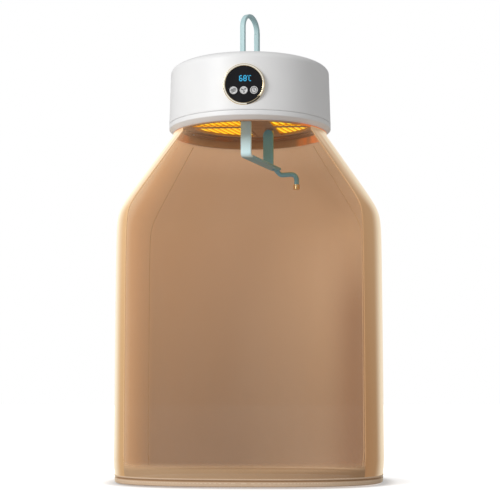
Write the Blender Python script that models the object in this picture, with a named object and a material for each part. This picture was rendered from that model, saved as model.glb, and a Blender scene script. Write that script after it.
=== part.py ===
"""A portable clothes dryer: a round heater head that hangs from a rail, with a hanging arm and a cover bag.

Metres, +Z up. The origin is on the axis of the thickest rail that the hook takes, and the display faces -Y.
The arm, the bridges and the hook stand at angles of their own about +Z, so each is modelled in a frame that an
empty carries: there +Y runs along the piece and +X across it.
"""

import math

import bmesh
import bpy
import numpy as np

# Running sizes
GAP = 0.0003  # between pieces that touch
RUNNING_GAP = 0.0005  # between a moving piece and what it passes
OVERRUN = 0.002  # how far a cutter runs past what it cuts
BIG_SEGMENTS = 48
MID_SEGMENTS = 24
SMALL_SEGMENTS = 12

# Rail hook
RAIL_DIAMETER = 0.040
HOOK_YAW = math.radians(-26)
HOOK_INNER_WIDTH = 0.0515
STRAP_WIDTH = 0.011
STRAP_THICKNESS = 0.0065
STRAP_EDGE = 0.0014
NOSE_DROP = 0.008  # from the rail's axis down to the nose
LAP_LENGTH = 0.008
CROWN_STEPS = 16
HOOK_PIN_RADIUS = 0.002

# Turret that carries the hook
TURRET_THICKNESS = 0.007
TURRET_RIM = 0.001
SOCKET_WALL = 0.004
SOCKET_HEIGHT = 0.014
SOCKET_FLOOR = 0.003
STEM_RADIUS = 0.009
STEM_END = 0.002
NUT_RADIUS = 0.016
NUT_THICKNESS = 0.007
WASHER_RADIUS = 0.015
WASHER_THICKNESS = 0.0015
BUSH_WALL = 0.003
BUSH_FLANGE = 0.002
BUSH_FLANGE_REACH = 0.006

# Gate of the hook
GATE_PIVOT_RISE = 0.008
GATE_BARREL_RADIUS = 0.0055
GATE_PIN_RADIUS = 0.0022
GATE_PIN_HEAD = 0.0015
GATE_PIN_HEAD_REACH = 0.0015
GATE_LUG = 0.004
GATE_LUG_REACH = 0.0015
GATE_SPRING_WIRE = 0.001
GATE_SPRING_SHARE = 0.6  # of the barrel's length

# Head casing
HEAD_DROP = 0.085  # from the rail's axis to the top of the head
HEAD_HEIGHT = 0.141
HEAD_RADIUS = 0.166
WALL_DRAFT = 0.003  # the wall's top is this much slimmer than its foot
COVER_WALL = 0.003
DOME_HEIGHT = 0.018
DOME_REACH = 0.036
DOME_STEPS = 5
COVER_BOSS_HEIGHT = 0.006
COVER_BOSS_REACH = 0.014
RING_HEIGHT = 0.018
RING_LIP = 0.0095
RING_EDGE = 0.0012
RING_CHAMFER = 0.010
RING_FOOT = 0.0035
SPIGOT_HEIGHT = 0.003  # the ring stands this far up inside the cover
LEDGE_THICKNESS = 0.003
LEDGE_REACH = 0.008
SLOT_COUNT = 16
SLOT_WIDTH = 0.004
SLOT_LENGTH = 0.040
SLOT_INSET = 0.010  # from the slots' outer ends to the edge of the flat top
SCREW_RADIUS = 0.0015
SCREW_HEAD_RADIUS = 0.0026
SCREW_HEAD = 0.002
SCREW_GRIP = 0.010
SCREW_POST_RADIUS = 0.0045
SCREW_POST_SHARE = 0.68  # of the rounded edge's height, where the posts end in the shell
SCREW_PLACES_DEG = (32, 148, 212, 328)

# Heater plate, its two windows and the elements
PLATE_THICKNESS = 0.003
PLATE_EDGE_REACH = 0.005  # past the screws' circle
WINDOW_INSET = 0.0395  # from the head's wall to the windows' round side
WINDOW_SHIFT = 0.003
STRIP_SHIFT = 0.0165
STRIP_YAW = math.radians(-6.5)
STRIP_HALF_WIDTH = 0.027
ROW_SPLIT = 0.020
ROW_BAR = 0.006
WINDOW_CORNER = 0.010
FRAME_THICKNESS = 0.0015
FRAME_OUT = 0.003
FRAME_IN = 0.0025
ELEMENT_THICKNESS = 0.002
ELEMENT_SEAT = 0.0025
ELEMENT_SET = 0.001
FIN_PITCH = 0.0125
FIN_WIDTH = 0.0075
FIN_INSET = 0.004

# Load frame
BRIDGE_THICKNESS = 0.004
BRIDGE_HALF_WIDTH = 0.020
BRIDGE_END = 0.006
TIE_RADIUS = 0.004
TIE_END_RADIUS = 0.0024
TIE_CLEARANCE = 0.0015

# Fan and motor
FILTER_THICKNESS = 0.003
HOUSING_WALL = 0.0025
HOUSING_CLEARANCE = 0.001
FAN_TIP_GAP = 0.004
FAN_SEAT_SHARE = 0.40  # of the housing's height
SEAT_THICKNESS = 0.003
STRUT_WIDTH = 0.010
STRUT_COUNT = 4
MOTOR_RADIUS = 0.026
MOTOR_HEIGHT = 0.016
SHAFT_RADIUS = 0.003
SHAFT_END = 0.006
HUB_WALL = 0.003
HUB_CLEARANCE = 0.0015
HUB_LIFT = 0.004
BLADE_COUNT = 7
BLADE_THICKNESS = 0.002
BLADE_CHORD = 0.034
BLADE_PITCH = math.radians(30)
FAN_NUT_RADIUS = 0.006
FAN_NUT_THICKNESS = 0.004

# Controls inside the head
THERMOSTAT_RADIUS = 0.008
THERMOSTAT_HEIGHT = 0.006
THERMOSTAT_FLANGE = 0.0015
THERMOSTAT_FLANGE_REACH = 0.003
FUSE_RADIUS = 0.0025
FUSE_LENGTH = 0.016
FUSE_PLACE = 0.022
BOARD_THICKNESS = 0.0016
BOARD_LENGTH = 0.060
BOARD_HEIGHT = 0.045
BOARD_CLEARANCE = 0.004
RELAY_SIZE = (0.009, 0.016, 0.014)
CAPACITOR_SIZE = (0.010, 0.012, 0.018)
CHIP_SIZE = (0.003, 0.010, 0.010)

# Display and its buttons
BEZEL_RADIUS = 0.041
BEZEL_WIDTH = 0.0047
BEZEL_EDGE = 0.0008
BEZEL_PROUD = 0.002
BEZEL_LIP = 0.003
BEZEL_DEPTH = 0.012
DISPLAY_RISE = 0.009  # from the seam to the bezel
LENS_SET = 0.0006
LENS_THICKNESS = 0.003
BUTTON_RADIUS = 0.0076
BUTTON_FLANGE_REACH = 0.0014
BUTTON_FLANGE = 0.0015
BUTTON_PROUD = 0.0008
BUTTON_TRAVEL = 0.0008
BUTTON_PITCH = 0.020
BUTTON_DROP = 0.012
PAD_THICKNESS = 0.0015
DISPLAY_BOARD_THICKNESS = 0.0016
BUTTON_NAMES = ("button_airflow", "button_fan", "button_timer")

# Power inlet at the back
INLET_WIDTH = 0.0272
INLET_HEIGHT = 0.020
INLET_WALL = 0.0016
INLET_DEPTH = 0.020
INLET_PROUD = 0.002
INLET_FLOOR = 0.005
BLADE_PIN = (0.002, 0.004)
BLADE_PIN_LENGTH = 0.010
BLADE_PIN_PITCH = 0.007
BLADE_PIN_LIFT = 0.002

# Hanging arm
ARM_YAW = math.radians(-16.5)
ARM_SHIFT = 0.0225  # from the head's axis to the pivots, to the right
ARM_WIDTH = 0.022
ARM_THICKNESS = 0.0055
ARM_DROP = 0.065  # from the pivots to the middle of the bar
ARM_FRONT = 0.0855
ARM_REAR = 0.045
ARM_OVERHANG = 0.048
ARM_BEND = 0.004
ARM_EDGE = 0.0012
ARM_FOLD_CLEARANCE = 0.0012
BEND_STEPS = 5
TAIL_RADIUS = 0.005
TAIL_RUN = 0.044
TAIL_SINK = 0.012  # in the turn to the side
TAIL_DROP = 0.031
TAIL_BEND = 0.012
CAP_WALL = 0.0012
CAP_LENGTH = 0.009
ARM_PIN_RADIUS = 0.003
ARM_PIN_HEAD_RADIUS = 0.005
ARM_PIN_HEAD = 0.002
ARM_PIN_REACH = 0.0035
ARM_LUG = 0.006
ARM_LUG_HALF_WIDTH = 0.008
ARM_WASHER = 0.0008

# Cover bag
FILM = 0.002
COLLAR_THICKNESS = 0.002
COLLAR_HEIGHT = 0.012
COLLAR_FLANGE = 0.002
BAG_NECK_REACH = 0.002
BAG_HALF_WIDTH = 0.270
BAG_HALF_DEPTH = 0.235
BAG_HEIGHT = 0.705  # from the head's rim to the hem
SHOULDER_SLOPE_DEG = 34.3
SHOULDER_ROUNDING = 0.014
SHOULDER_LAP = 0.028  # wall of the shoulder panel below the corner
NECK_BAND = 0.0025
HEM_HEIGHT = 0.014
HEM_THICKNESS = 0.005
BAG_SQUARENESS = 2.8
BAG_SEGMENTS = 40
SHOULDER_LEVEL_SHARES = (0.0, 0.33, 0.62, 0.80, 0.90, 1.0)

# Levels of the head, from the top down
HEAD_TOP = -HEAD_DROP
RIM = HEAD_TOP - HEAD_HEIGHT
SEAM = RIM + RING_HEIGHT
WALL_TOP = HEAD_TOP - DOME_HEIGHT
BOSS_FOOT = HEAD_TOP - COVER_WALL - COVER_BOSS_HEIGHT
UPPER_BRIDGE_TOP = BOSS_FOOT - GAP
UPPER_BRIDGE_FOOT = UPPER_BRIDGE_TOP - BRIDGE_THICKNESS
FILTER_TOP = UPPER_BRIDGE_FOOT - GAP
FILTER_FOOT = FILTER_TOP - FILTER_THICKNESS
HOUSING_TOP = FILTER_FOOT - GAP
PLATE_FOOT = SEAM + SPIGOT_HEIGHT
PLATE_TOP = PLATE_FOOT + PLATE_THICKNESS
HOUSING_FOOT = PLATE_TOP + GAP
LOWER_BRIDGE_TOP = HOUSING_FOOT + BRIDGE_THICKNESS
FRAME_TOP = PLATE_FOOT - GAP
FRAME_FOOT = FRAME_TOP - FRAME_THICKNESS
SEAT_TOP = HOUSING_FOOT + FAN_SEAT_SHARE * (HOUSING_TOP - HOUSING_FOOT)
MOTOR_FOOT = SEAT_TOP + GAP
MOTOR_TOP = MOTOR_FOOT + MOTOR_HEIGHT
HUB_TOP = MOTOR_TOP + HUB_LIFT + HUB_WALL
BUSH_TOP = HEAD_TOP + GAP + BUSH_FLANGE
TURRET_FOOT = BUSH_TOP + GAP
TURRET_TOP = TURRET_FOOT + TURRET_THICKNESS
WASHER_TOP = UPPER_BRIDGE_FOOT - GAP
NUT_TOP = WASHER_TOP - WASHER_THICKNESS - GAP
STEM_FOOT = NUT_TOP - NUT_THICKNESS - STEM_END
ARM_PIVOT = FRAME_FOOT - ARM_FOLD_CLEARANCE - ARM_WIDTH / 2
GATE_PIVOT = TURRET_TOP + GATE_PIVOT_RISE

# Radii and places that follow
CROWN_RADIUS = HOOK_INNER_WIDTH / 2
CROWN_CENTRE = RAIL_DIAMETER / 2 - CROWN_RADIUS
LEG_PLACE = CROWN_RADIUS + STRAP_THICKNESS / 2
NOSE_TOP = -NOSE_DROP
NOSE_FOOT = NOSE_TOP - LAP_LENGTH
RIM_RADIUS = HEAD_RADIUS - RING_CHAMFER
RECESS_RADIUS = RIM_RADIUS - RING_FOOT
WINDOW_RADIUS = HEAD_RADIUS - WINDOW_INSET
HOUSING_BORE = WINDOW_RADIUS + WINDOW_SHIFT + ELEMENT_SEAT + HOUSING_CLEARANCE
HOUSING_RADIUS = HOUSING_BORE + HOUSING_WALL
TIE_PLACE = HOUSING_RADIUS + TIE_CLEARANCE + TIE_RADIUS
SCREW_PLACE = RECESS_RADIUS - LEDGE_REACH / 2
BUSH_BORE = STEM_RADIUS + GAP
BUSH_RADIUS = BUSH_BORE + BUSH_WALL
SWIVEL_HOLE = BUSH_RADIUS + GAP
LENS_RADIUS = BEZEL_RADIUS - BEZEL_WIDTH - GAP
DISPLAY_HEIGHT = SEAM + DISPLAY_RISE + BEZEL_RADIUS
FAN_RADIUS = HOUSING_BORE - FAN_TIP_GAP
HUB_BORE = MOTOR_RADIUS + HUB_CLEARANCE
HUB_RADIUS = HUB_BORE + HUB_WALL
BAG_NECK_RADIUS = RIM_RADIUS + BAG_NECK_REACH
BAG_TOP = RIM - GAP - COLLAR_FLANGE - GAP
BAG_NECK = BAG_TOP - NECK_BAND
BAG_CORNER = BAG_NECK - (BAG_HALF_WIDTH - BAG_NECK_RADIUS) / math.tan(math.radians(SHOULDER_SLOPE_DEG))
SHOULDER_FOOT = BAG_CORNER - SHOULDER_LAP
BAG_FOOT = RIM - BAG_HEIGHT
HEM_TOP = BAG_FOOT + HEM_HEIGHT

COLOURS = {
    "white_shell": ((0.86, 0.86, 0.85), 0.32, 0.0),
    "blue_steel": ((0.45, 0.60, 0.61), 0.38, 0.1),
    "bright_steel": ((0.62, 0.62, 0.63), 0.30, 1.0),
    "heater_tan": ((0.55, 0.42, 0.33), 0.45, 0.3),
    "heater_glow": ((1.0, 0.62, 0.08), 0.5, 0.0),
    "dark_plastic": ((0.05, 0.05, 0.055), 0.45, 0.0),
    "grey_plastic": ((0.45, 0.46, 0.47), 0.5, 0.0),
    "black_glass": ((0.01, 0.01, 0.012), 0.08, 0.0),
    "gold": ((0.90, 0.72, 0.42), 0.22, 1.0),
    "silver_button": ((0.72, 0.73, 0.74), 0.3, 0.4),
    "board_green": ((0.05, 0.25, 0.12), 0.5, 0.0),
    "filter_mesh": ((0.2, 0.2, 0.21), 0.9, 0.0),
    "bearing_brass": ((0.75, 0.58, 0.30), 0.3, 1.0),
    "bag_film": ((0.72, 0.52, 0.38), 0.4, 0.0),
    "bag_binding": ((0.85, 0.72, 0.58), 0.6, 0.0),
}


def clear_scene():
    for obj in list(bpy.data.objects):
        bpy.data.objects.remove(obj, do_unlink=True)


def material(name):
    """The Principled material of one finish, made the first time that it is asked for."""
    if name in bpy.data.materials:
        return bpy.data.materials[name]
    colour, roughness, metallic = COLOURS[name]
    made = bpy.data.materials.new(name)
    made.use_nodes = True
    shader = made.node_tree.nodes["Principled BSDF"]
    shader.inputs["Base Color"].default_value = (*colour, 1.0)
    shader.inputs["Roughness"].default_value = roughness
    shader.inputs["Metallic"].default_value = metallic
    return made


def frame(name, place, yaw=0.0, parent=None):
    """An empty on a joint's axis or at a piece's own place, turned about +Z."""
    empty = bpy.data.objects.new(name, None)
    empty.location = place
    empty.rotation_euler = (0, 0, yaw)
    empty.parent = parent
    bpy.context.collection.objects.link(empty)
    return empty


def mesh_of(name, points, faces):
    """A closed mesh with its faces turned outward."""
    made = bmesh.new()
    corners = [made.verts.new(p) for p in points]
    for face in faces:
        made.faces.new([corners[i] for i in face])
    bmesh.ops.remove_doubles(made, verts=made.verts, dist=GAP / 1000)
    bmesh.ops.recalc_face_normals(made, faces=made.faces)
    data = bpy.data.meshes.new(name)
    made.to_mesh(data)
    made.free()
    return data


def piece(name, data, finish, parent=None):
    """One named sub-part."""
    obj = bpy.data.objects.new(name, data)
    obj.parent = parent
    bpy.context.collection.objects.link(obj)
    data.materials.append(material(finish))
    data.shade_smooth()
    data.set_sharp_from_angle(angle=math.radians(35))
    return obj


def helper(name, data, parent=None):
    """A cutter, or a shape that a Boolean adds to a sub-part."""
    obj = bpy.data.objects.new(name, data)
    obj.parent = parent
    obj.hide_render = True
    obj.display_type = "WIRE"
    bpy.context.collection.objects.link(obj)
    return obj


def combine(target, tool, operation):
    step = target.modifiers.new(tool.name, "BOOLEAN")
    step.operation = operation
    step.object = tool


def cut(target, *tools):
    for tool in tools:
        combine(target, tool, "DIFFERENCE")


def add(target, *tools):
    for tool in tools:
        combine(target, tool, "UNION")


def soften(target, width):
    """Rounds the sharp edges of a strap."""
    step = target.modifiers.new("edges", "BEVEL")
    step.width = width
    step.segments = 2
    step.limit_method = "ANGLE"
    step.angle_limit = math.radians(50)


def laid(a, b, height, axis):
    """The point whose plan is (a, b), at this height along the axis."""
    return {"Z": (a, b, height), "Y": (a, height, b), "X": (height, a, b)}[axis]


def ring(radius, count=SMALL_SEGMENTS, centre=(0, 0)):
    """A circle's corners."""
    turns = [2 * math.pi * k / count for k in range(count)]
    return [(centre[0] + radius * math.cos(t), centre[1] + radius * math.sin(t)) for t in turns]


def box_outline(low, high):
    return [(low[0], low[1]), (high[0], low[1]), (high[0], high[1]), (low[0], high[1])]


def centred_box(width, height, centre=(0, 0)):
    low = (centre[0] - width / 2, centre[1] - height / 2)
    return box_outline(low, (low[0] + width, low[1] + height))


def capsule(half_width, half_length, count=SMALL_SEGMENTS):
    """A bar's outline along the second axis, with round ends."""
    reach = half_length - half_width
    turns = [math.pi * k / count for k in range(count + 1)]
    far = [(half_width * math.cos(t), reach + half_width * math.sin(t)) for t in turns]
    return far + [(-a, -b) for a, b in far]


def arc(centre, radius, start, end, steps):
    """Points of an arc, with its angles in degrees from the first axis."""
    turns = np.radians(np.linspace(start, end, steps + 1))
    return [(centre[0] + radius * math.cos(t), centre[1] + radius * math.sin(t)) for t in turns]


def clipped(outline, normal, limit):
    """The part of a convex outline where its distance along the normal is at most the limit."""
    kept = []
    for here, there in zip(outline, outline[1:] + outline[:1]):
        a = here[0] * normal[0] + here[1] * normal[1] - limit
        b = there[0] * normal[0] + there[1] * normal[1] - limit
        if a <= 0:
            kept.append(here)
        if (a < 0 < b) or (b < 0 < a):
            share = a / (a - b)
            kept.append(tuple(h + share * (t - h) for h, t in zip(here, there)))
    return kept


def rounded(outline, radius, steps=4):
    """The outline with an arc in place of each corner that turns by more than a third of a right angle."""
    made = []
    count = len(outline)
    for k in range(count):
        before, corner, after = (np.array(outline[(k + j) % count]) for j in (-1, 0, 1))
        back, ahead = before - corner, after - corner
        room = min(np.linalg.norm(back), np.linalg.norm(ahead)) * 0.45
        back, ahead = back / np.linalg.norm(back), ahead / np.linalg.norm(ahead)
        half = math.acos(max(-1.0, min(1.0, float(back @ ahead)))) / 2
        if half > math.radians(75):
            made.append(tuple(corner))
            continue
        reach = min(radius / math.tan(half), room)
        size = reach * math.tan(half)
        centre = corner + (back + ahead) / np.linalg.norm(back + ahead) * (size / math.sin(half))
        first, last = corner + back * reach - centre, corner + ahead * reach - centre
        for j in range(steps + 1):
            share = j / steps
            spoke = first * (1 - share) + last * share
            made.append(tuple(centre + spoke / np.linalg.norm(spoke) * size))
    return made


def prisms(name, outlines, low, high, axis="Z"):
    """Each outline carried from one height to the other along the axis, all in one mesh."""
    points, faces = [], []
    for outline in outlines:
        first, count = len(points), len(outline)
        points += [laid(a, b, low, axis) for a, b in outline]
        points += [laid(a, b, high, axis) for a, b in outline]
        faces.append([first + k for k in range(count)])
        faces.append([first + count + k for k in range(count)])
        for k in range(count):
            n = (k + 1) % count
            faces.append([first + k, first + n, first + count + n, first + count + k])
    return mesh_of(name, points, faces)


def prism(name, outline, low, high, axis="Z"):
    return prisms(name, [outline], low, high, axis)


def loft(name, rings, closed=True):
    """Rings of points joined in order: closed joins the last to the first, and otherwise the ends are filled."""
    count = len(rings[0])
    points = [p for r in rings for p in r]
    faces = []
    spans = len(rings) if closed else len(rings) - 1
    for i in range(spans):
        here, there = i * count, (i + 1) % len(rings) * count
        for k in range(count):
            n = (k + 1) % count
            faces.append([here + k, here + n, there + n, there + k])
    if not closed:
        faces.append(list(range(count)))
        faces.append([len(points) - count + k for k in range(count)])
    return mesh_of(name, points, faces)


def turned(name, profile, count=MID_SEGMENTS, axis="Z", centre=(0, 0)):
    """A profile of (radius, height) turned about the axis. One that starts and ends on the axis closes there."""
    on_axis = profile[0][0] == 0
    rings = []
    for radius, height in profile:
        rings.append([laid(a, b, height, axis) for a, b in ring(radius, count, centre)])
    if not on_axis:
        return loft(name, rings)
    tip, foot = (laid(*centre, profile[k][1], axis) for k in (0, -1))
    points = [tip] + [p for r in rings[1:-1] for p in r] + [foot]
    faces = []
    for k in range(count):
        n = (k + 1) % count
        faces.append([0, 1 + k, 1 + n])
        faces.append([len(points) - 1, len(points) - 1 - count + n, len(points) - 1 - count + k])
        for i in range(len(rings) - 3):
            here = 1 + i * count
            faces.append([here + k, here + n, here + count + n, here + count + k])
    return mesh_of(name, points, faces)


def rod(name, radius, low, high, count=SMALL_SEGMENTS, axis="Z", centre=(0, 0)):
    return prism(name, ring(radius, count, centre), low, high, axis)


def bore(radius, count=SMALL_SEGMENTS):
    """The corner radius of a faceted hole whose flats clear this radius."""
    return radius / math.cos(math.pi / count)


def tube(name, path, radius, count=SMALL_SEGMENTS):
    """A round bar along a path of points."""
    path = np.array(path, float)
    runs = np.gradient(path, axis=0)
    runs /= np.linalg.norm(runs, axis=1)[:, None]
    side = np.cross(runs[0], (0, 0, 1))
    rings = []
    for point, run in zip(path, runs):
        side = side - run * (side @ run)
        side /= np.linalg.norm(side)
        up = np.cross(run, side)
        rings.append([tuple(point + a * side + b * up) for a, b in ring(radius, count)])
    return loft(name, rings, closed=False)


def wall_radius(height):
    """The casing's outer radius at a height of its drafted wall."""
    return HEAD_RADIUS - WALL_DRAFT * (height - SEAM) / (WALL_TOP - SEAM)


def screw_places():
    return [
        (SCREW_PLACE * math.cos(math.radians(a)), SCREW_PLACE * math.sin(math.radians(a)))
        for a in SCREW_PLACES_DEG
    ]


def screw_holes(name):
    """Four clearance holes for the cover's screws, right through the head's foot."""
    hole = bore(SCREW_RADIUS + GAP)
    return prisms(name, [ring(hole, SMALL_SEGMENTS, p) for p in screw_places()], RIM, SEAM + SCREW_GRIP + GAP)


def make_rail_hook(hook_frame):
    """The flat strap that stands on the turret, crosses the rail and ends in a lapped nose."""
    outer, inner = CROWN_RADIUS + STRAP_THICKNESS, CROWN_RADIUS
    foot = TURRET_TOP + SOCKET_FLOOR + GAP
    middle = LEG_PLACE + GAP
    outline = [(-outer, foot)]
    outline += arc((0, CROWN_CENTRE), outer, 180, 0, CROWN_STEPS)
    outline += [(outer, NOSE_FOOT), (middle, NOSE_FOOT), (middle, NOSE_TOP), (inner, NOSE_TOP)]
    outline += arc((0, CROWN_CENTRE), inner, 0, 180, CROWN_STEPS)
    outline.append((-inner, foot))
    hook = piece("rail_hook", prism("rail_hook", outline, -STRAP_WIDTH / 2, STRAP_WIDTH / 2, "X"), "blue_steel", hook_frame)
    hole = rod("hook_pin_hole", bore(HOOK_PIN_RADIUS + GAP), -STRAP_WIDTH, STRAP_WIDTH, axis="X",
               centre=(-LEG_PLACE, TURRET_TOP + (SOCKET_HEIGHT + SOCKET_FLOOR) / 2))
    soften(hook, STRAP_EDGE)
    cut(hook, helper("hook_pin_hole", hole, hook_frame))


def make_turret(hook_frame):
    """The swivelling disc with its stem, the hook's socket in front and the gate's two lugs behind."""
    reach = LEG_PLACE + STRAP_THICKNESS / 2 + SOCKET_WALL
    half = STRAP_WIDTH / 2 + SOCKET_WALL
    lug_in = STRAP_WIDTH / 2 + RUNNING_GAP
    lug_out = lug_in + GATE_LUG
    lug_radius = GATE_BARREL_RADIUS + GATE_LUG_REACH
    radius = max(math.hypot(half, reach), math.hypot(lug_out, LEG_PLACE + lug_radius)) + TURRET_RIM
    profile = [(0, TURRET_TOP), (radius - STRAP_EDGE, TURRET_TOP), (radius, TURRET_TOP - STRAP_EDGE),
               (radius, TURRET_FOOT), (STEM_RADIUS, TURRET_FOOT), (STEM_RADIUS, STEM_FOOT), (0, STEM_FOOT)]
    turret = piece("turret", turned("turret", profile), "blue_steel", hook_frame)
    block = centred_box(2 * half, STRAP_THICKNESS + 2 * SOCKET_WALL, (0, -LEG_PLACE))
    socket = prism("hook_socket", rounded(block, SOCKET_WALL / 2), TURRET_TOP - TURRET_THICKNESS / 2,
                   TURRET_TOP + SOCKET_HEIGHT)
    add(turret, helper("hook_socket", socket, hook_frame))
    lug = [(LEG_PLACE - lug_radius, TURRET_TOP - TURRET_THICKNESS / 2)]
    lug += arc((LEG_PLACE, GATE_PIVOT), lug_radius, 180, 0, BEND_STEPS * 2)
    lug.append((LEG_PLACE + lug_radius, TURRET_TOP - TURRET_THICKNESS / 2))
    for side, low, high in (("left", -lug_out, -lug_in), ("right", lug_in, lug_out)):
        name = "gate_lug_" + side
        add(turret, helper(name, prism(name, lug, low, high, "X"), hook_frame))
    pocket = centred_box(STRAP_WIDTH + 2 * GAP, STRAP_THICKNESS + 2 * GAP, (0, -LEG_PLACE))
    pocket = prism("hook_pocket", pocket, TURRET_TOP + SOCKET_FLOOR, TURRET_TOP + SOCKET_HEIGHT + OVERRUN)
    cross = rod("socket_pin_hole", bore(HOOK_PIN_RADIUS + GAP), -half - OVERRUN, half + OVERRUN, axis="X",
                centre=(-LEG_PLACE, TURRET_TOP + (SOCKET_HEIGHT + SOCKET_FLOOR) / 2))
    pivot = rod("gate_pin_hole", bore(GATE_PIN_RADIUS + GAP), -lug_out - OVERRUN, lug_out + OVERRUN, axis="X",
                centre=(LEG_PLACE, GATE_PIVOT))
    cut(turret, helper("hook_pocket", pocket, hook_frame), helper("socket_pin_hole", cross, hook_frame),
        helper("gate_pin_hole", pivot, hook_frame))
    pin = rod("hook_pin", HOOK_PIN_RADIUS, -half, half, axis="X",
              centre=(-LEG_PLACE, TURRET_TOP + (SOCKET_HEIGHT + SOCKET_FLOOR) / 2))
    piece("hook_pin", pin, "bright_steel", hook_frame)
    head = lug_out + GAP
    head_radius = GATE_PIN_RADIUS + GATE_PIN_HEAD_REACH
    profile = [(0, head + GATE_PIN_HEAD), (head_radius, head + GATE_PIN_HEAD), (head_radius, head),
               (GATE_PIN_RADIUS, head), (GATE_PIN_RADIUS, -lug_out), (0, -lug_out)]
    pin = turned("gate_pin", profile, SMALL_SEGMENTS, "X", (LEG_PLACE, GATE_PIVOT))
    piece("gate_pin", pin, "bright_steel", hook_frame)


def make_swivel(hook_frame):
    """The nut and washer that hang the head from the turret's stem, and the bush that the stem turns in."""
    thread = bore(STEM_RADIUS + GAP, MID_SEGMENTS)
    nut = piece("swivel_nut", prism("swivel_nut", ring(NUT_RADIUS, 6), NUT_TOP - NUT_THICKNESS, NUT_TOP),
                "bright_steel", hook_frame)
    hole = rod("nut_thread", thread, NUT_TOP - NUT_THICKNESS - OVERRUN, NUT_TOP + OVERRUN, MID_SEGMENTS)
    cut(nut, helper("nut_thread", hole, hook_frame))
    low = WASHER_TOP - WASHER_THICKNESS
    washer = [(thread, WASHER_TOP), (WASHER_RADIUS, WASHER_TOP), (WASHER_RADIUS, low), (thread, low)]
    piece("thrust_washer", turned("thrust_washer", washer), "bearing_brass", hook_frame)
    flange = BUSH_RADIUS + BUSH_FLANGE_REACH
    flange_foot = BUSH_TOP - BUSH_FLANGE
    in_bush = bore(BUSH_BORE, MID_SEGMENTS)
    profile = [(in_bush, BUSH_TOP), (flange, BUSH_TOP), (flange, flange_foot), (BUSH_RADIUS, flange_foot),
               (BUSH_RADIUS, UPPER_BRIDGE_FOOT), (in_bush, UPPER_BRIDGE_FOOT)]
    piece("swivel_bush", turned("swivel_bush", profile), "bearing_brass")


def make_gate(hook_frame):
    """The sprung leg that closes the hook, and the spring in its barrel."""
    gate_frame = frame("gate_axis", (0, LEG_PLACE, GATE_PIVOT), parent=hook_frame)
    half = STRAP_THICKNESS / 2
    shoulder, tip = NOSE_FOOT - GAP - GATE_PIVOT, NOSE_TOP - GAP - GATE_PIVOT
    outline = [(-half, 0), (half, 0), (half, shoulder), (0, shoulder), (0, tip), (-half, tip)]
    gate = piece("gate", prism("gate", outline, -STRAP_WIDTH / 2, STRAP_WIDTH / 2, "X"), "blue_steel", gate_frame)
    soften(gate, STRAP_EDGE / 2)
    barrel = rod("gate_barrel", GATE_BARREL_RADIUS, -STRAP_WIDTH / 2, STRAP_WIDTH / 2, MID_SEGMENTS, "X")
    add(gate, helper("gate_barrel", barrel, gate_frame))
    inside = bore(GATE_PIN_RADIUS + GAP)
    hole = rod("gate_bore", inside, -STRAP_WIDTH, STRAP_WIDTH, axis="X")
    spring_radius = inside + GAP + GATE_SPRING_WIRE
    room = bore(spring_radius + GAP)
    start = STRAP_WIDTH / 2 - GATE_SPRING_SHARE * STRAP_WIDTH
    pocket = rod("spring_room", room, start, STRAP_WIDTH / 2 + OVERRUN, axis="X")
    cut(gate, helper("gate_bore", hole, gate_frame), helper("spring_room", pocket, gate_frame))
    low, high = start + GAP, STRAP_WIDTH / 2
    profile = [(inside + GAP, high), (spring_radius, high), (spring_radius, low), (inside + GAP, low)]
    spring = turned("gate_spring", profile, SMALL_SEGMENTS, "X", (LEG_PLACE, GATE_PIVOT))
    piece("gate_spring", spring, "bright_steel", hook_frame)


def dome(radius, top):
    """The rounded edge between the flat top and the wall: a quarter of an ellipse."""
    flat = wall_radius(WALL_TOP) - DOME_REACH
    turns = [math.pi / 2 * k / DOME_STEPS for k in range(DOME_STEPS + 1)]
    return [(flat + (radius - flat) * math.sin(t), top - DOME_HEIGHT * (1 - math.cos(t))) for t in turns]


def intake_slots():
    """Radial slots in the flat top, where the fan draws its air."""
    end = wall_radius(WALL_TOP) - DOME_REACH - SLOT_INSET
    slot = rounded(box_outline((end - SLOT_LENGTH, -SLOT_WIDTH / 2), (end, SLOT_WIDTH / 2)), SLOT_WIDTH / 2, 1)
    outlines = []
    for k in range(SLOT_COUNT):
        turn = 2 * math.pi * (k + 0.5) / SLOT_COUNT
        c, s = math.cos(turn), math.sin(turn)
        outlines.append([(a * c - b * s, a * s + b * c) for a, b in slot])
    return prisms("intake_slots", outlines, HEAD_TOP - COVER_WALL - OVERRUN, HEAD_TOP + OVERRUN)


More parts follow.
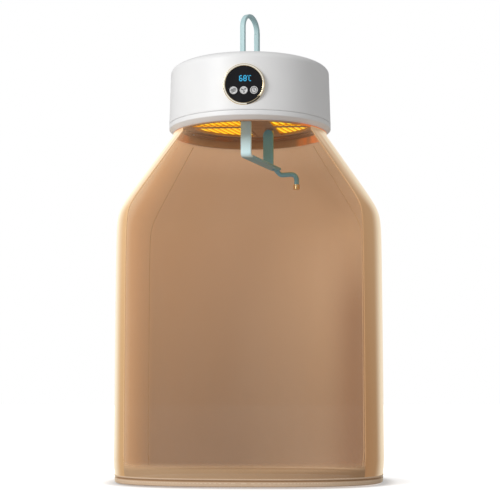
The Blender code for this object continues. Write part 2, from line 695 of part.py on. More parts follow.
def make_top_cover(display_frame, inlet_frame):
    """The white shell: flat vented top, rounded edge, drafted wall, and posts for the screws."""
    top_radius, foot_radius = wall_radius(WALL_TOP), wall_radius(SEAM)
    profile = [(SWIVEL_HOLE, HEAD_TOP)]
    profile += dome(top_radius, HEAD_TOP)
    profile.append((foot_radius, SEAM))
    profile.append((foot_radius - COVER_WALL, SEAM))
    profile += dome(top_radius - COVER_WALL, HEAD_TOP - COVER_WALL)[::-1]
    boss = SWIVEL_HOLE + COVER_BOSS_REACH
    profile += [(boss, HEAD_TOP - COVER_WALL), (boss, BOSS_FOOT), (SWIVEL_HOLE, BOSS_FOOT)]
    cover = piece("top_cover", turned("top_cover", profile, BIG_SEGMENTS), "white_shell")
    posts = [ring(SCREW_POST_RADIUS, SMALL_SEGMENTS, p) for p in screw_places()]
    posts = prisms("screw_posts", posts, PLATE_TOP + GAP, WALL_TOP + SCREW_POST_SHARE * DOME_HEIGHT)
    add(cover, helper("screw_posts", posts))
    cut(cover, helper("intake_slots", intake_slots()), helper("cover_screw_holes", screw_holes("cover_screw_holes")))
    opening = BEZEL_RADIUS + GAP
    sagitta = HEAD_RADIUS - math.sqrt(HEAD_RADIUS**2 - opening**2)
    hole = rod("display_hole", opening, -OVERRUN, sagitta + COVER_WALL + 2 * OVERRUN, MID_SEGMENTS, "Y")
    socket = rounded(centred_box(INLET_WIDTH + 2 * GAP, INLET_HEIGHT + 2 * GAP), INLET_WALL + GAP)
    socket = prism("inlet_hole", socket, -OVERRUN, COVER_WALL + 2 * OVERRUN, "Y")
    cut(cover, helper("display_hole", hole, display_frame), helper("inlet_hole", socket, inlet_frame))


def make_base_ring():
    """The rim under the cover: a short lip, a long chamfer and a ledge that the heater plate lies on."""
    top, ledge = SEAM - GAP, PLATE_FOOT - GAP
    outer = wall_radius(SEAM)
    spigot = outer - COVER_WALL - GAP
    corner = top - RING_LIP
    profile = [(outer - RING_EDGE, top), (outer, top - RING_EDGE), (outer, corner),
               (outer - RING_EDGE, corner - RING_EDGE), (RIM_RADIUS, RIM), (RECESS_RADIUS, RIM),
               (RECESS_RADIUS, ledge - LEDGE_THICKNESS), (RECESS_RADIUS - LEDGE_REACH, ledge - LEDGE_THICKNESS),
               (RECESS_RADIUS - LEDGE_REACH, ledge), (spigot, ledge), (spigot, top)]
    base = piece("base_ring", turned("base_ring", profile, BIG_SEGMENTS), "white_shell")
    cut(base, helper("ring_screw_holes", screw_holes("ring_screw_holes")))


def make_cover_screws():
    head_top = PLATE_FOOT - GAP - LEDGE_THICKNESS - GAP
    profile = [(0, SEAM + SCREW_GRIP), (SCREW_RADIUS, SEAM + SCREW_GRIP), (SCREW_RADIUS, head_top),
               (SCREW_HEAD_RADIUS, head_top), (SCREW_HEAD_RADIUS, head_top - SCREW_HEAD), (0, head_top - SCREW_HEAD)]
    for k, place in enumerate(screw_places(), 1):
        name = f"cover_screw_{k}"
        piece(name, turned(name, profile, SMALL_SEGMENTS, "Z", place), "bright_steel")


def strip_line():
    """The unit vector across the strip between the windows, and the strip's middle along it."""
    across = (math.cos(STRIP_YAW), math.sin(STRIP_YAW))
    return across, STRIP_SHIFT * across[0]


def window(side, grow):
    """The D-shaped outline of one window, grown on every side. Side is -1 on the left and 1 on the right."""
    outline = ring(WINDOW_RADIUS + grow, BIG_SEGMENTS, (WINDOW_SHIFT, 0))
    across, middle = strip_line()
    normal = (-side * across[0], -side * across[1])
    return clipped(outline, normal, -side * middle - STRIP_HALF_WIDTH + grow)


def window_row(side, row, grow):
    """The part of a window on one side of the bar between its rows, grown on every side."""
    outline = window(side, grow)
    return clipped(outline, (0, -row), -row * ROW_SPLIT - ROW_BAR / 2 + grow)


SIDES = (("left", -1), ("right", 1))
ROWS = (("front", -1), ("rear", 1))


def make_heater_plate(arm_frame):
    """The plate that closes the head, with two windows and the slots for the arm's lugs."""
    plate = piece("heater_plate", prism("heater_plate", ring(SCREW_PLACE + PLATE_EDGE_REACH, BIG_SEGMENTS),
                                        PLATE_FOOT, PLATE_TOP), "heater_tan")
    for name, side in SIDES:
        hole = prism("window_" + name, rounded(window(side, 0), WINDOW_CORNER), PLATE_FOOT - OVERRUN,
                     PLATE_TOP + OVERRUN)
        cut(plate, helper("window_" + name, hole))
    slots = []
    for low, high in lug_spans():
        slots.append(box_outline((-ARM_LUG_HALF_WIDTH - GAP, low - GAP), (ARM_LUG_HALF_WIDTH + GAP, high + GAP)))
    slots = prisms("lug_slots", slots, PLATE_FOOT - ARM_PIVOT - OVERRUN, PLATE_TOP - ARM_PIVOT + OVERRUN)
    cut(plate, helper("lug_slots", slots, arm_frame), helper("plate_screw_holes", screw_holes("plate_screw_holes")))


def make_window_frames():
    """A flat frame round each window, with the bar between its two rows."""
    for name, side in SIDES:
        outline = rounded(window(side, FRAME_OUT), WINDOW_CORNER + FRAME_OUT)
        made = piece("window_frame_" + name, prism("window_frame_" + name, outline, FRAME_FOOT, FRAME_TOP), "heater_tan")
        rows = [rounded(window_row(side, row, -FRAME_IN), WINDOW_CORNER - FRAME_IN) for _, row in ROWS]
        rows = prisms("rows_" + name, rows, FRAME_FOOT - OVERRUN, FRAME_TOP + OVERRUN)
        cut(made, helper("rows_" + name, rows))


def fins(side, row):
    """Bars along the arm's direction that fill one row of a window."""
    area = window_row(side, row, -FIN_INSET)
    across = (math.cos(ARM_YAW), math.sin(ARM_YAW))
    reach = WINDOW_RADIUS + WINDOW_SHIFT
    count = math.ceil(reach / FIN_PITCH)
    made = []
    for k in range(-count, count + 1):
        middle = k * FIN_PITCH
        strip = clipped(area, across, middle + FIN_WIDTH / 2)
        strip = clipped(strip, (-across[0], -across[1]), -middle + FIN_WIDTH / 2) if len(strip) > 2 else strip
        spread = np.ptp(np.array(strip), axis=0).max() if len(strip) > 2 else 0
        if spread > FIN_PITCH:
            made.append(strip)
    return made


def make_heaters():
    """Four finned elements, one for each row of each window, that lie on the heater plate."""
    low = PLATE_TOP + GAP
    for name, side in SIDES:
        for row_name, row in ROWS:
            label = f"heater_{name}_{row_name}"
            backing = window_row(side, row, ELEMENT_SEAT)
            made = piece(label, prism(label, backing, low, low + ELEMENT_THICKNESS), "heater_glow")
            bars = prisms("fins_" + label, fins(side, row), PLATE_FOOT + ELEMENT_SET, low + ELEMENT_THICKNESS / 2)
            add(made, helper("fins_" + label, bars))


def make_bridges(strip_frame, arm_frame):
    """The two steel bars that carry the load, from the swivel down to the arm's lugs."""
    bar = capsule(BRIDGE_HALF_WIDTH, TIE_PLACE + BRIDGE_END)
    upper = piece("upper_bridge", prism("upper_bridge", bar, UPPER_BRIDGE_FOOT, UPPER_BRIDGE_TOP), "bright_steel", strip_frame)
    boss = rod("bridge_boss", SWIVEL_HOLE + COVER_BOSS_REACH, UPPER_BRIDGE_FOOT, UPPER_BRIDGE_TOP, MID_SEGMENTS)
    hole = rod("bridge_hole", bore(SWIVEL_HOLE, MID_SEGMENTS), UPPER_BRIDGE_FOOT - OVERRUN,
               UPPER_BRIDGE_TOP + OVERRUN, MID_SEGMENTS)
    add(upper, helper("bridge_boss", boss))
    cut(upper, helper("bridge_hole", hole))
    lower = piece("lower_bridge", prism("lower_bridge", bar, HOUSING_FOOT, LOWER_BRIDGE_TOP), "bright_steel", strip_frame)
    lug = [(ARM_LUG_HALF_WIDTH, LOWER_BRIDGE_TOP - BRIDGE_THICKNESS / 2 - ARM_PIVOT)]
    lug.append((-ARM_LUG_HALF_WIDTH, LOWER_BRIDGE_TOP - BRIDGE_THICKNESS / 2 - ARM_PIVOT))
    lug += arc((0, 0), ARM_LUG_HALF_WIDTH, 180, 360, BEND_STEPS * 2)
    for k, (low, high) in enumerate(lug_spans(), 1):
        add(lower, helper(f"arm_lug_{k}", prism(f"arm_lug_{k}", lug, low, high, "Y"), arm_frame))
        hole = rod(f"arm_lug_hole_{k}", bore(ARM_PIN_RADIUS + GAP), low - OVERRUN / 2, high + OVERRUN / 2, axis="Y")
        cut(lower, helper(f"arm_lug_hole_{k}", hole, arm_frame))
    ends = [ring(bore(TIE_END_RADIUS + GAP), SMALL_SEGMENTS, (0, s * TIE_PLACE)) for s in (-1, 1)]
    for target, low, high in ((upper, UPPER_BRIDGE_FOOT, UPPER_BRIDGE_TOP), (lower, HOUSING_FOOT, LOWER_BRIDGE_TOP)):
        name = target.name + "_tie_holes"
        cut(target, helper(name, prisms(name, ends, low - OVERRUN, high + OVERRUN), strip_frame))


def make_tie_rods(strip_frame):
    """Two rods between the bridges, with their ends riveted flush."""
    top, foot = UPPER_BRIDGE_FOOT - GAP, LOWER_BRIDGE_TOP + GAP
    profile = [(0, UPPER_BRIDGE_TOP), (TIE_END_RADIUS, UPPER_BRIDGE_TOP), (TIE_END_RADIUS, top), (TIE_RADIUS, top),
               (TIE_RADIUS, foot), (TIE_END_RADIUS, foot), (TIE_END_RADIUS, HOUSING_FOOT), (0, HOUSING_FOOT)]
    for name, side in (("tie_rod_front", -1), ("tie_rod_rear", 1)):
        piece(name, turned(name, profile, SMALL_SEGMENTS, "Z", (0, side * TIE_PLACE)), "bright_steel", strip_frame)


def make_fan_housing(strip_frame):
    """The round duct between the filter and the heater plate, with the motor's seat on struts."""
    outer = HOUSING_RADIUS
    profile = [(HOUSING_BORE, HOUSING_TOP), (outer, HOUSING_TOP), (outer, HOUSING_FOOT), (HOUSING_BORE, HOUSING_FOOT)]
    housing = piece("fan_housing", turned("fan_housing", profile, BIG_SEGMENTS), "grey_plastic")
    reach = HOUSING_BORE + HOUSING_WALL / 2
    foot = SEAT_TOP - SEAT_THICKNESS
    for k in range(STRUT_COUNT // 2):
        turn = math.pi * (k + 0.5) * 2 / STRUT_COUNT
        cross = frame(f"strut_frame_{k + 1}", (0, 0, 0), turn)
        strut = prism(f"struts_{k + 1}", centred_box(2 * reach, STRUT_WIDTH), foot, SEAT_TOP)
        add(housing, helper(f"struts_{k + 1}", strut, cross))
    add(housing, helper("motor_seat", rod("motor_seat", MOTOR_RADIUS + HOUSING_WALL, foot, SEAT_TOP, MID_SEGMENTS)))
    half = BRIDGE_HALF_WIDTH + GAP
    span = HOUSING_RADIUS + OVERRUN
    notch = prism("bridge_notch", centred_box(2 * half, 2 * span), HOUSING_FOOT - OVERRUN, LOWER_BRIDGE_TOP + GAP)
    cut(housing, helper("bridge_notch", notch, strip_frame))


def make_motor_and_filter():
    hole = bore(SHAFT_RADIUS + GAP)
    rim = MOTOR_RADIUS - HUB_WALL / 2
    profile = [(hole, MOTOR_TOP), (rim, MOTOR_TOP), (MOTOR_RADIUS, MOTOR_TOP - HUB_WALL / 2),
               (MOTOR_RADIUS, MOTOR_FOOT), (hole, MOTOR_FOOT)]
    piece("motor", turned("motor", profile), "bright_steel")
    inner = NUT_RADIUS + COVER_WALL
    outer = HOUSING_RADIUS
    profile = [(inner, FILTER_TOP), (outer, FILTER_TOP), (outer, FILTER_FOOT), (inner, FILTER_FOOT)]
    piece("intake_filter", turned("intake_filter", profile, BIG_SEGMENTS), "filter_mesh")


def make_fan(fan_frame):
    """The rotor, whose hub fits over the motor, with its shaft and nut. Heights are measured from the hub's top."""
    hole = bore(SHAFT_RADIUS + GAP)
    skirt = MOTOR_FOOT + HUB_WALL - HUB_TOP
    profile = [(hole, 0), (HUB_RADIUS - HUB_WALL / 2, 0), (HUB_RADIUS, -HUB_WALL / 2), (HUB_RADIUS, skirt),
               (HUB_BORE, skirt), (HUB_BORE, -HUB_WALL), (hole, -HUB_WALL)]
    rotor = piece("fan_rotor", turned("fan_rotor", profile), "dark_plastic", fan_frame)
    middle = (skirt - HUB_WALL) / 2
    chord = min(BLADE_CHORD, (-skirt - HUB_WALL / 2) / math.sin(BLADE_PITCH))
    for k in range(BLADE_COUNT):
        turn = 2 * math.pi * k / BLADE_COUNT
        out = np.array((math.cos(turn), math.sin(turn), 0))
        level = np.array((-math.sin(turn), math.cos(turn), 0)) * math.cos(BLADE_PITCH)
        run = level + np.array((0, 0, math.sin(BLADE_PITCH)))
        face = np.cross(run, out)
        rings = []
        for reach in (HUB_RADIUS - HUB_WALL / 2, FAN_RADIUS):
            seat = out * reach + np.array((0, 0, middle))
            rings.append([tuple(seat + a * run + b * face) for a, b in centred_box(chord, BLADE_THICKNESS)])
        name = f"fan_blade_{k + 1}"
        add(rotor, helper(name, loft(name, rings, closed=False), fan_frame))
    low = MOTOR_FOOT + GAP - HUB_TOP
    high = SHAFT_END
    piece("fan_shaft", rod("fan_shaft", SHAFT_RADIUS, low, high), "bright_steel", fan_frame)
    nut = piece("fan_nut", prism("fan_nut", ring(FAN_NUT_RADIUS, 6), GAP, GAP + FAN_NUT_THICKNESS), "bright_steel", fan_frame)
    cut(nut, helper("fan_nut_thread", rod("fan_nut_thread", hole, -OVERRUN / 2, GAP + FAN_NUT_THICKNESS + OVERRUN), fan_frame))


def make_controls(strip_frame):
    """The thermostat and fuse on the lower bridge, and the control board beside the duct."""
    foot = LOWER_BRIDGE_TOP + GAP
    flange = THERMOSTAT_RADIUS + THERMOSTAT_FLANGE_REACH
    profile = [(0, foot + THERMOSTAT_HEIGHT), (THERMOSTAT_RADIUS, foot + THERMOSTAT_HEIGHT),
               (THERMOSTAT_RADIUS, foot + THERMOSTAT_FLANGE), (flange, foot + THERMOSTAT_FLANGE), (flange, foot), (0, foot)]
    piece("thermostat", turned("thermostat", profile, SMALL_SEGMENTS), "dark_plastic", strip_frame)
    fuse = rod("thermal_fuse", FUSE_RADIUS, -FUSE_LENGTH / 2, FUSE_LENGTH / 2, axis="X", centre=(FUSE_PLACE, foot + FUSE_RADIUS))
    piece("thermal_fuse", fuse, "bright_steel", strip_frame)
    face = HOUSING_RADIUS + BOARD_CLEARANCE
    board_frame = frame("board_frame", (face, 0, PLATE_TOP + GAP))
    outline = box_outline((-BOARD_LENGTH / 2, 0), (BOARD_LENGTH / 2, BOARD_HEIGHT))
    board = piece("control_board", prism("control_board", outline, 0, BOARD_THICKNESS, "X"), "board_green", board_frame)
    for name, size, along, rise in (("relay", RELAY_SIZE, -BOARD_LENGTH / 4, BOARD_HEIGHT / 2),
                                    ("capacitor", CAPACITOR_SIZE, BOARD_LENGTH / 4, BOARD_HEIGHT / 2),
                                    ("chip", CHIP_SIZE, 0, BOARD_HEIGHT / 4)):
        outline = centred_box(size[1], size[2], (along, rise))
        add(board, helper(name, prism(name, outline, BOARD_THICKNESS / 2, BOARD_THICKNESS + size[0], "X"), board_frame))


def make_display(display_frame):
    """The bezel, black lens, buttons and boards. Depths run inward from the casing's wall."""
    front = -BEZEL_PROUD
    inner = LENS_RADIUS + GAP
    lens_front = front + LENS_SET
    lens_back = lens_front + LENS_THICKNESS
    back = front + BEZEL_DEPTH
    lip = inner - BEZEL_LIP
    profile = [(BEZEL_RADIUS, back), (BEZEL_RADIUS, front + BEZEL_EDGE), (BEZEL_RADIUS - BEZEL_EDGE, front),
               (inner + BEZEL_EDGE, front), (inner, front + BEZEL_EDGE), (inner, lens_back + GAP),
               (lip, lens_back + GAP), (lip, back)]
    piece("display_bezel", turned("display_bezel", profile, MID_SEGMENTS, "Y"), "gold", display_frame)
    lens = piece("display_lens", prism("display_lens", ring(LENS_RADIUS, MID_SEGMENTS), lens_front, lens_back, "Y"),
                 "black_glass", display_frame)
    places = [(k * BUTTON_PITCH, -BUTTON_DROP) for k in (-1, 0, 1)]
    holes = [ring(bore(BUTTON_RADIUS + GAP, MID_SEGMENTS), MID_SEGMENTS, p) for p in places]
    holes = prisms("button_holes", holes, lens_front - OVERRUN, lens_back + OVERRUN, "Y")
    cut(lens, helper("button_holes", holes, display_frame))
    board_front = back + GAP
    pad_front = board_front - GAP - PAD_THICKNESS
    pad = rod("button_pad", lip - GAP, pad_front, pad_front + PAD_THICKNESS, MID_SEGMENTS, "Y")
    piece("button_pad", pad, "grey_plastic", display_frame)
    board = rod("display_board", BEZEL_RADIUS, board_front, board_front + DISPLAY_BOARD_THICKNESS, MID_SEGMENTS, "Y")
    piece("display_board", board, "board_green", display_frame)
    for name, place in zip(BUTTON_NAMES, places):
        face = lens_front - BUTTON_PROUD
        flange = lens_back + GAP
        radius = BUTTON_RADIUS + BUTTON_FLANGE_REACH
        foot = pad_front - BUTTON_TRAVEL - RUNNING_GAP
        button_frame = frame(name + "_axis", (place[0], 0, place[1]), parent=display_frame)
        profile = [(0, face), (BUTTON_RADIUS - BEZEL_EDGE / 2, face), (BUTTON_RADIUS, face + BEZEL_EDGE / 2),
                   (BUTTON_RADIUS, flange), (radius, flange), (radius, flange + BUTTON_FLANGE),
                   (BUTTON_RADIUS / 2, flange + BUTTON_FLANGE), (BUTTON_RADIUS / 2, foot), (0, foot)]
        piece(name, turned(name, profile, MID_SEGMENTS, "Y"), "silver_button", button_frame)


def make_power_inlet(inlet_frame):
    """The socket at the back. Depths run inward from the casing's wall."""
    corner = INLET_WALL
    outline = rounded(centred_box(INLET_WIDTH, INLET_HEIGHT), corner)
    back = INLET_DEPTH - INLET_PROUD
    inlet = piece("power_inlet", prism("power_inlet", outline, -INLET_PROUD, back, "Y"), "dark_plastic", inlet_frame)
    floor = back - INLET_FLOOR
    mouth = rounded(centred_box(INLET_WIDTH - 2 * INLET_WALL, INLET_HEIGHT - 2 * INLET_WALL), corner)
    cut(inlet, helper("inlet_mouth", prism("inlet_mouth", mouth, -INLET_PROUD - OVERRUN, floor, "Y"), inlet_frame))
    pins = [centred_box(*BLADE_PIN, (k * BLADE_PIN_PITCH, BLADE_PIN_LIFT * (1 if k else -1))) for k in (-1, 0, 1)]
    pins = prisms("inlet_pins", pins, floor - BLADE_PIN_LENGTH, floor + INLET_FLOOR / 2, "Y")
    add(inlet, helper("inlet_pins", pins, inlet_frame))


def lug_spans():
    """Where the lower bridge's two lugs stand along the arm, each just behind a post."""
    start = ARM_THICKNESS / 2 + 2 * GAP + ARM_WASHER
    return [(place + start, place + start + ARM_LUG) for place in (-ARM_FRONT, ARM_REAR)]


def tail_path():
    """From inside the bar's end, sinking as it turns to the side, and then down."""
    end = ARM_REAR + ARM_OVERHANG
    turn = end - TAIL_BEND + TAIL_RADIUS
    path = [(0, end - TAIL_BEND - TAIL_RADIUS, -ARM_DROP)]
    swing = arc((TAIL_BEND, turn), TAIL_BEND, 180, 90, 2 * BEND_STEPS)
    for k, (a, b) in enumerate(swing):
        share = k / (len(swing) - 1)
        path.append((a, b, -ARM_DROP - TAIL_SINK * share * share * (3 - 2 * share)))
    side, level = turn + TAIL_BEND, -ARM_DROP - TAIL_SINK
    for a, b in arc((TAIL_RUN - TAIL_BEND, level - TAIL_BEND), TAIL_BEND, 90, 0, BEND_STEPS):
        path.append((a, side, b))
    path.append((TAIL_RUN, side, level - TAIL_DROP))
    return path


def make_arm(arm_frame):
    """The hanging arm: two posts and a bar of flat steel, and a round tail. Its frame stands on the pivots."""
    half, drop = ARM_THICKNESS / 2, ARM_DROP
    front, rear, end = -ARM_FRONT, ARM_REAR, ARM_REAR + ARM_OVERHANG
    bend_out = ARM_BEND + ARM_THICKNESS
    outline = [(front - half, 0)]
    outline += arc((front - half + bend_out, -drop - half + bend_out), bend_out, 180, 270, BEND_STEPS)
    outline += [(end, -drop - half), (end, -drop + half), (rear + half, -drop + half), (rear + half, 0),
                (rear - half, 0), (rear - half, -drop + half)]
    outline += arc((front + half + ARM_BEND, -drop + half + ARM_BEND), ARM_BEND, 270, 180, BEND_STEPS)
    outline.append((front + half, 0))
    arm = piece("hanging_arm", prism("hanging_arm", outline, -ARM_WIDTH / 2, ARM_WIDTH / 2, "X"), "blue_steel", arm_frame)
    soften(arm, ARM_EDGE)
    for name, place in (("front", front), ("rear", rear)):
        top = rod("post_top_" + name, ARM_WIDTH / 2, place - half, place + half, MID_SEGMENTS, "Y")
        top = helper("post_top_" + name, top, arm_frame)
        soften(top, ARM_EDGE)
        add(arm, top)
    add(arm, helper("tail", tube("tail", tail_path(), TAIL_RADIUS), arm_frame))
    for name, place in (("front", front), ("rear", rear)):
        hole = rod("post_bore_" + name, bore(ARM_PIN_RADIUS + GAP), place + half - ARM_PIN_REACH - GAP,
                   place + half + OVERRUN, axis="Y")
        cut(arm, helper("post_bore_" + name, hole, arm_frame))
    _, side, foot = tail_path()[-1]
    cap_in, cap_out = bore(TAIL_RADIUS + GAP), bore(TAIL_RADIUS + GAP) + CAP_WALL
    profile = [(0, foot - GAP), (cap_in, foot - GAP), (cap_in, foot - GAP + CAP_LENGTH),
               (cap_out, foot - GAP + CAP_LENGTH), (cap_out, foot - GAP - CAP_WALL), (0, foot - GAP - CAP_WALL)]
    cap = turned("arm_end_cap", profile, SMALL_SEGMENTS, "Z", (TAIL_RUN, side))
    piece("arm_end_cap", cap, "bearing_brass", arm_frame)
    for name, place in (("front", front), ("rear", rear)):
        low = place + half + GAP
        hole = bore(ARM_PIN_RADIUS + GAP)
        profile = [(hole, low), (ARM_LUG_HALF_WIDTH, low), (ARM_LUG_HALF_WIDTH, low + ARM_WASHER), (hole, low + ARM_WASHER)]
        label = "arm_washer_" + name
        piece(label, turned(label, profile, MID_SEGMENTS, "Y"), "grey_plastic", arm_frame)


def make_arm_pins(arm_frame):
    """The two pivots, each let through a lug into the back of a post."""
    for name, place, span in zip(("front", "rear"), (-ARM_FRONT, ARM_REAR), lug_spans()):
        tip = place + ARM_THICKNESS / 2 - ARM_PIN_REACH
        face = span[1] + GAP
        profile = [(0, tip), (ARM_PIN_RADIUS, tip), (ARM_PIN_RADIUS, face), (ARM_PIN_HEAD_RADIUS, face),
                   (ARM_PIN_HEAD_RADIUS, face + ARM_PIN_HEAD), (0, face + ARM_PIN_HEAD)]
        label = "arm_pin_" + name
        piece(label, turned(label, profile, SMALL_SEGMENTS, "Y"), "bright_steel", arm_frame)


def bag_ring(width, height, inset=0.0):
    """The bag's outline where its half width is this, shrunk by the inset.

    It is a circle at the neck and grows into |x/a|^n + |y/b|^n = 1 at the wall.
    """
    share = (width - BAG_NECK_RADIUS) / (BAG_HALF_WIDTH - BAG_NECK_RADIUS)
    depth = BAG_NECK_RADIUS + share * (BAG_HALF_DEPTH - BAG_NECK_RADIUS)
    power = 2 / (2 + share * (BAG_SQUARENESS - 2))
    points = []
    for k in range(BAG_SEGMENTS):
        c, s = (f(2 * math.pi * k / BAG_SEGMENTS) for f in (math.cos, math.sin))
        x = (width - inset) * math.copysign(abs(c) ** power, c)
        y = (depth - inset) * math.copysign(abs(s) ** power, s)
        points.append((x, y, height))
    return points


def bag_half_width(height):
    """The shoulder's straight slope run softly into the wall."""
    slope = BAG_NECK_RADIUS + (BAG_NECK - height) * math.tan(math.radians(SHOULDER_SLOPE_DEG))
    return (slope + BAG_HALF_WIDTH - math.hypot(slope - BAG_HALF_WIDTH, SHOULDER_ROUNDING)) / 2


def film_shell(name, levels, finish):
    """A panel of the bag through (half width, height) levels, as a thin wall."""
    outer = [bag_ring(width, height) for width, height in levels]
    inner = [bag_ring(width, height, FILM) for width, height in levels]
    piece(name, loft(name, outer + inner[::-1]), finish)


def make_bag():
    """The collar in the head's rim with its flange, the sloping shoulder, the wall and the hem of the open foot."""
    outer = RECESS_RADIUS - GAP
    inner = outer - COLLAR_THICKNESS
    high, under = RIM + COLLAR_HEIGHT, RIM - GAP
    collar = [(inner, high), (outer, high), (outer, under), (BAG_NECK_RADIUS, under),
              (BAG_NECK_RADIUS, under - COLLAR_FLANGE), (inner, under - COLLAR_FLANGE)]
    piece("bag_collar", turned("bag_collar", collar, BIG_SEGMENTS), "bag_binding")
    levels = [(BAG_NECK_RADIUS, BAG_TOP)]
    for share in SHOULDER_LEVEL_SHARES:
        height = BAG_NECK + share * (SHOULDER_FOOT - BAG_NECK)
        levels.append((bag_half_width(height), height))
    film_shell("bag_shoulder", levels, "bag_film")
    wall = SHOULDER_FOOT - GAP
    film_shell("bag_wall", [(bag_half_width(SHOULDER_FOOT), wall), (BAG_HALF_WIDTH, HEM_TOP + GAP)], "bag_film")
    out, back = BAG_HALF_WIDTH + HEM_THICKNESS / 4, HEM_THICKNESS
    edge = HEM_THICKNESS / 4
    rings = [bag_ring(out - edge, HEM_TOP), bag_ring(out, HEM_TOP - edge), bag_ring(out, BAG_FOOT + edge),
             bag_ring(out - edge, BAG_FOOT), bag_ring(out, BAG_FOOT, back), bag_ring(out, HEM_TOP, back)]
    piece("bag_hem", loft("bag_hem", rings), "bag_binding")


def main():
    clear_scene()
    hook_frame = frame("swivel_axis", (0, 0, 0), HOOK_YAW)
    strip_frame = frame("strip_frame", (STRIP_SHIFT, 0, 0), STRIP_YAW)
    arm_frame = frame("arm_axis", (ARM_SHIFT, 0, ARM_PIVOT), ARM_YAW)
    fan_frame = frame("fan_axis", (0, 0, HUB_TOP))
    display_frame = frame("display_frame", (0, -wall_radius(DISPLAY_HEIGHT), DISPLAY_HEIGHT))
    inlet_frame = frame("inlet_frame", (0, wall_radius(DISPLAY_HEIGHT), DISPLAY_HEIGHT), math.pi)
    make_rail_hook(hook_frame)
    make_turret(hook_frame)
    make_swivel(hook_frame)
    make_gate(hook_frame)
    make_top_cover(display_frame, inlet_frame)
    make_base_ring()
    make_cover_screws()
    make_heater_plate(arm_frame)
    make_window_frames()
    make_heaters()
    make_bridges(strip_frame, arm_frame)
    make_tie_rods(strip_frame)
    make_fan_housing(strip_frame)
    make_motor_and_filter()
    make_fan(fan_frame)
    make_controls(strip_frame)
    make_display(display_frame)
    make_power_inlet(inlet_frame)
    make_arm(arm_frame)
    make_arm_pins(arm_frame)
    make_bag()


main()
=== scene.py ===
"""The look of the portable clothes dryer: fine surfaces, finishes, light and camera over the solid model.

Metres, +Z up, in the solid model's own frame. A new piece is a grid of points worked out with numpy, or a
flat outline filled and given a thickness. Heights are measured from the axis that the hook hangs on.
"""

import math

import bmesh
import bpy
import numpy as np
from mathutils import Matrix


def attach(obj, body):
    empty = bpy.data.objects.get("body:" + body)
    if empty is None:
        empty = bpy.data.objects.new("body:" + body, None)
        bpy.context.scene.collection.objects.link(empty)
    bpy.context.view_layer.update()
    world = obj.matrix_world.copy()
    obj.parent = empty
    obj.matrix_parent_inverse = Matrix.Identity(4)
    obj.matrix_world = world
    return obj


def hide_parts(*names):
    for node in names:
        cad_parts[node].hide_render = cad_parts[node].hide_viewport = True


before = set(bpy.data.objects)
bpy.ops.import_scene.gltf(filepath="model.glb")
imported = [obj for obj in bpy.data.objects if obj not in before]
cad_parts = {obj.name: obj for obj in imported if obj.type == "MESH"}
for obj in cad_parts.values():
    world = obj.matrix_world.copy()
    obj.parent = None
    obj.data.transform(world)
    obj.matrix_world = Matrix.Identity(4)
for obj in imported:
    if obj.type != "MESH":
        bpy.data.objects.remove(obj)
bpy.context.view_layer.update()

# Clearance between pieces, and the distances below which points or edges are merged away
GAP, SAME_POINT, SLIVER = 0.0003, 2e-6, 1e-7

# Head
HEAD_TOP, WALL_TOP, SEAM, RIM = -0.085, -0.103, -0.208, -0.226
HEAD_RADIUS, WALL_DRAFT, SHELL = 0.166, 0.003, 0.003
FLAT_RADIUS, DOME_HEIGHT, NECK_HOLE = 0.127, 0.018, 0.0126
SLOT_COUNT, SLOT_WIDTH, SLOT_ENDS = 16, 0.004, (0.077, 0.117)
LIP, RIM_RADIUS, RECESS, LINING = 0.0095, 0.156, 0.1525, 0.1527
PLATE_FOOT, LEDGE, LEDGE_WIDTH = -0.205, 0.003, 0.008
INLET_HALF = (0.01263, 0.0092)
SCREW_PLACE, SCREW_TURNS, SCREW_HEAD, SCREW_SHANK = 0.1485, (32, 148, 212, 328), 0.0026, 0.0015

# Display and keys: depths are measured back from the casing's wall
DISPLAY_HEIGHT, LENS_FACE, LENS_RADIUS, LENS_THICK = -0.158, -0.0014, 0.0363, 0.003
BEZEL_FACE, BEZEL_BACK, BEZEL_RADIUS, BEZEL_BORE, BEZEL_LIP = -0.002, 0.010, 0.041, 0.0366, 0.0336
SEAT_DEPTH, CUT_RADIUS = 0.0018, 0.0385
BUTTON_RADIUS, BUTTON_PITCH, BUTTON_DROP, BUTTON_FACE = 0.0076, 0.020, 0.012, -0.0022
FLANGE, KEY_BACK, KEY_STEM, STEM_BACK, MARK_SIZE = 0.009, 0.0033, 0.0038, 0.0072, 1.18

# Hook, which stands at its own angle: +Y runs from its front leg to its gate
HOOK_YAW, LEG, CROWN, CROWN_RADIUS = math.radians(-26), 0.029, -0.00575, 0.029
STRAP, STRAP_THICK, STRAP_EASE = 0.011, 0.0065, 0.0016
TURRET_FOOT, TURRET_TOP, TURRET_RADIUS = -0.0824, -0.0754, 0.0385
STEM_RADIUS, STEM_FOOT, SOCKET_WALL = 0.009, -0.1176, 0.008
SOCKET_TOP, NOSE_TOP, NOSE_MIDDLE, NOSE_FOOT = -0.0614, -0.008, -0.012, -0.016
LAP_OUT, LAP_OUT_THICK, LAP_IN, LAP_IN_THICK = 0.0018, 0.0029, 0.0016, 0.0032
GATE_PIVOT, BARREL, LUG_IN, LUG_OUT, LUG_RADIUS = -0.0674, 0.0055, 0.006, 0.010, 0.007
GATE_PIN, GATE_PIN_HEAD = 0.0022, 0.0037

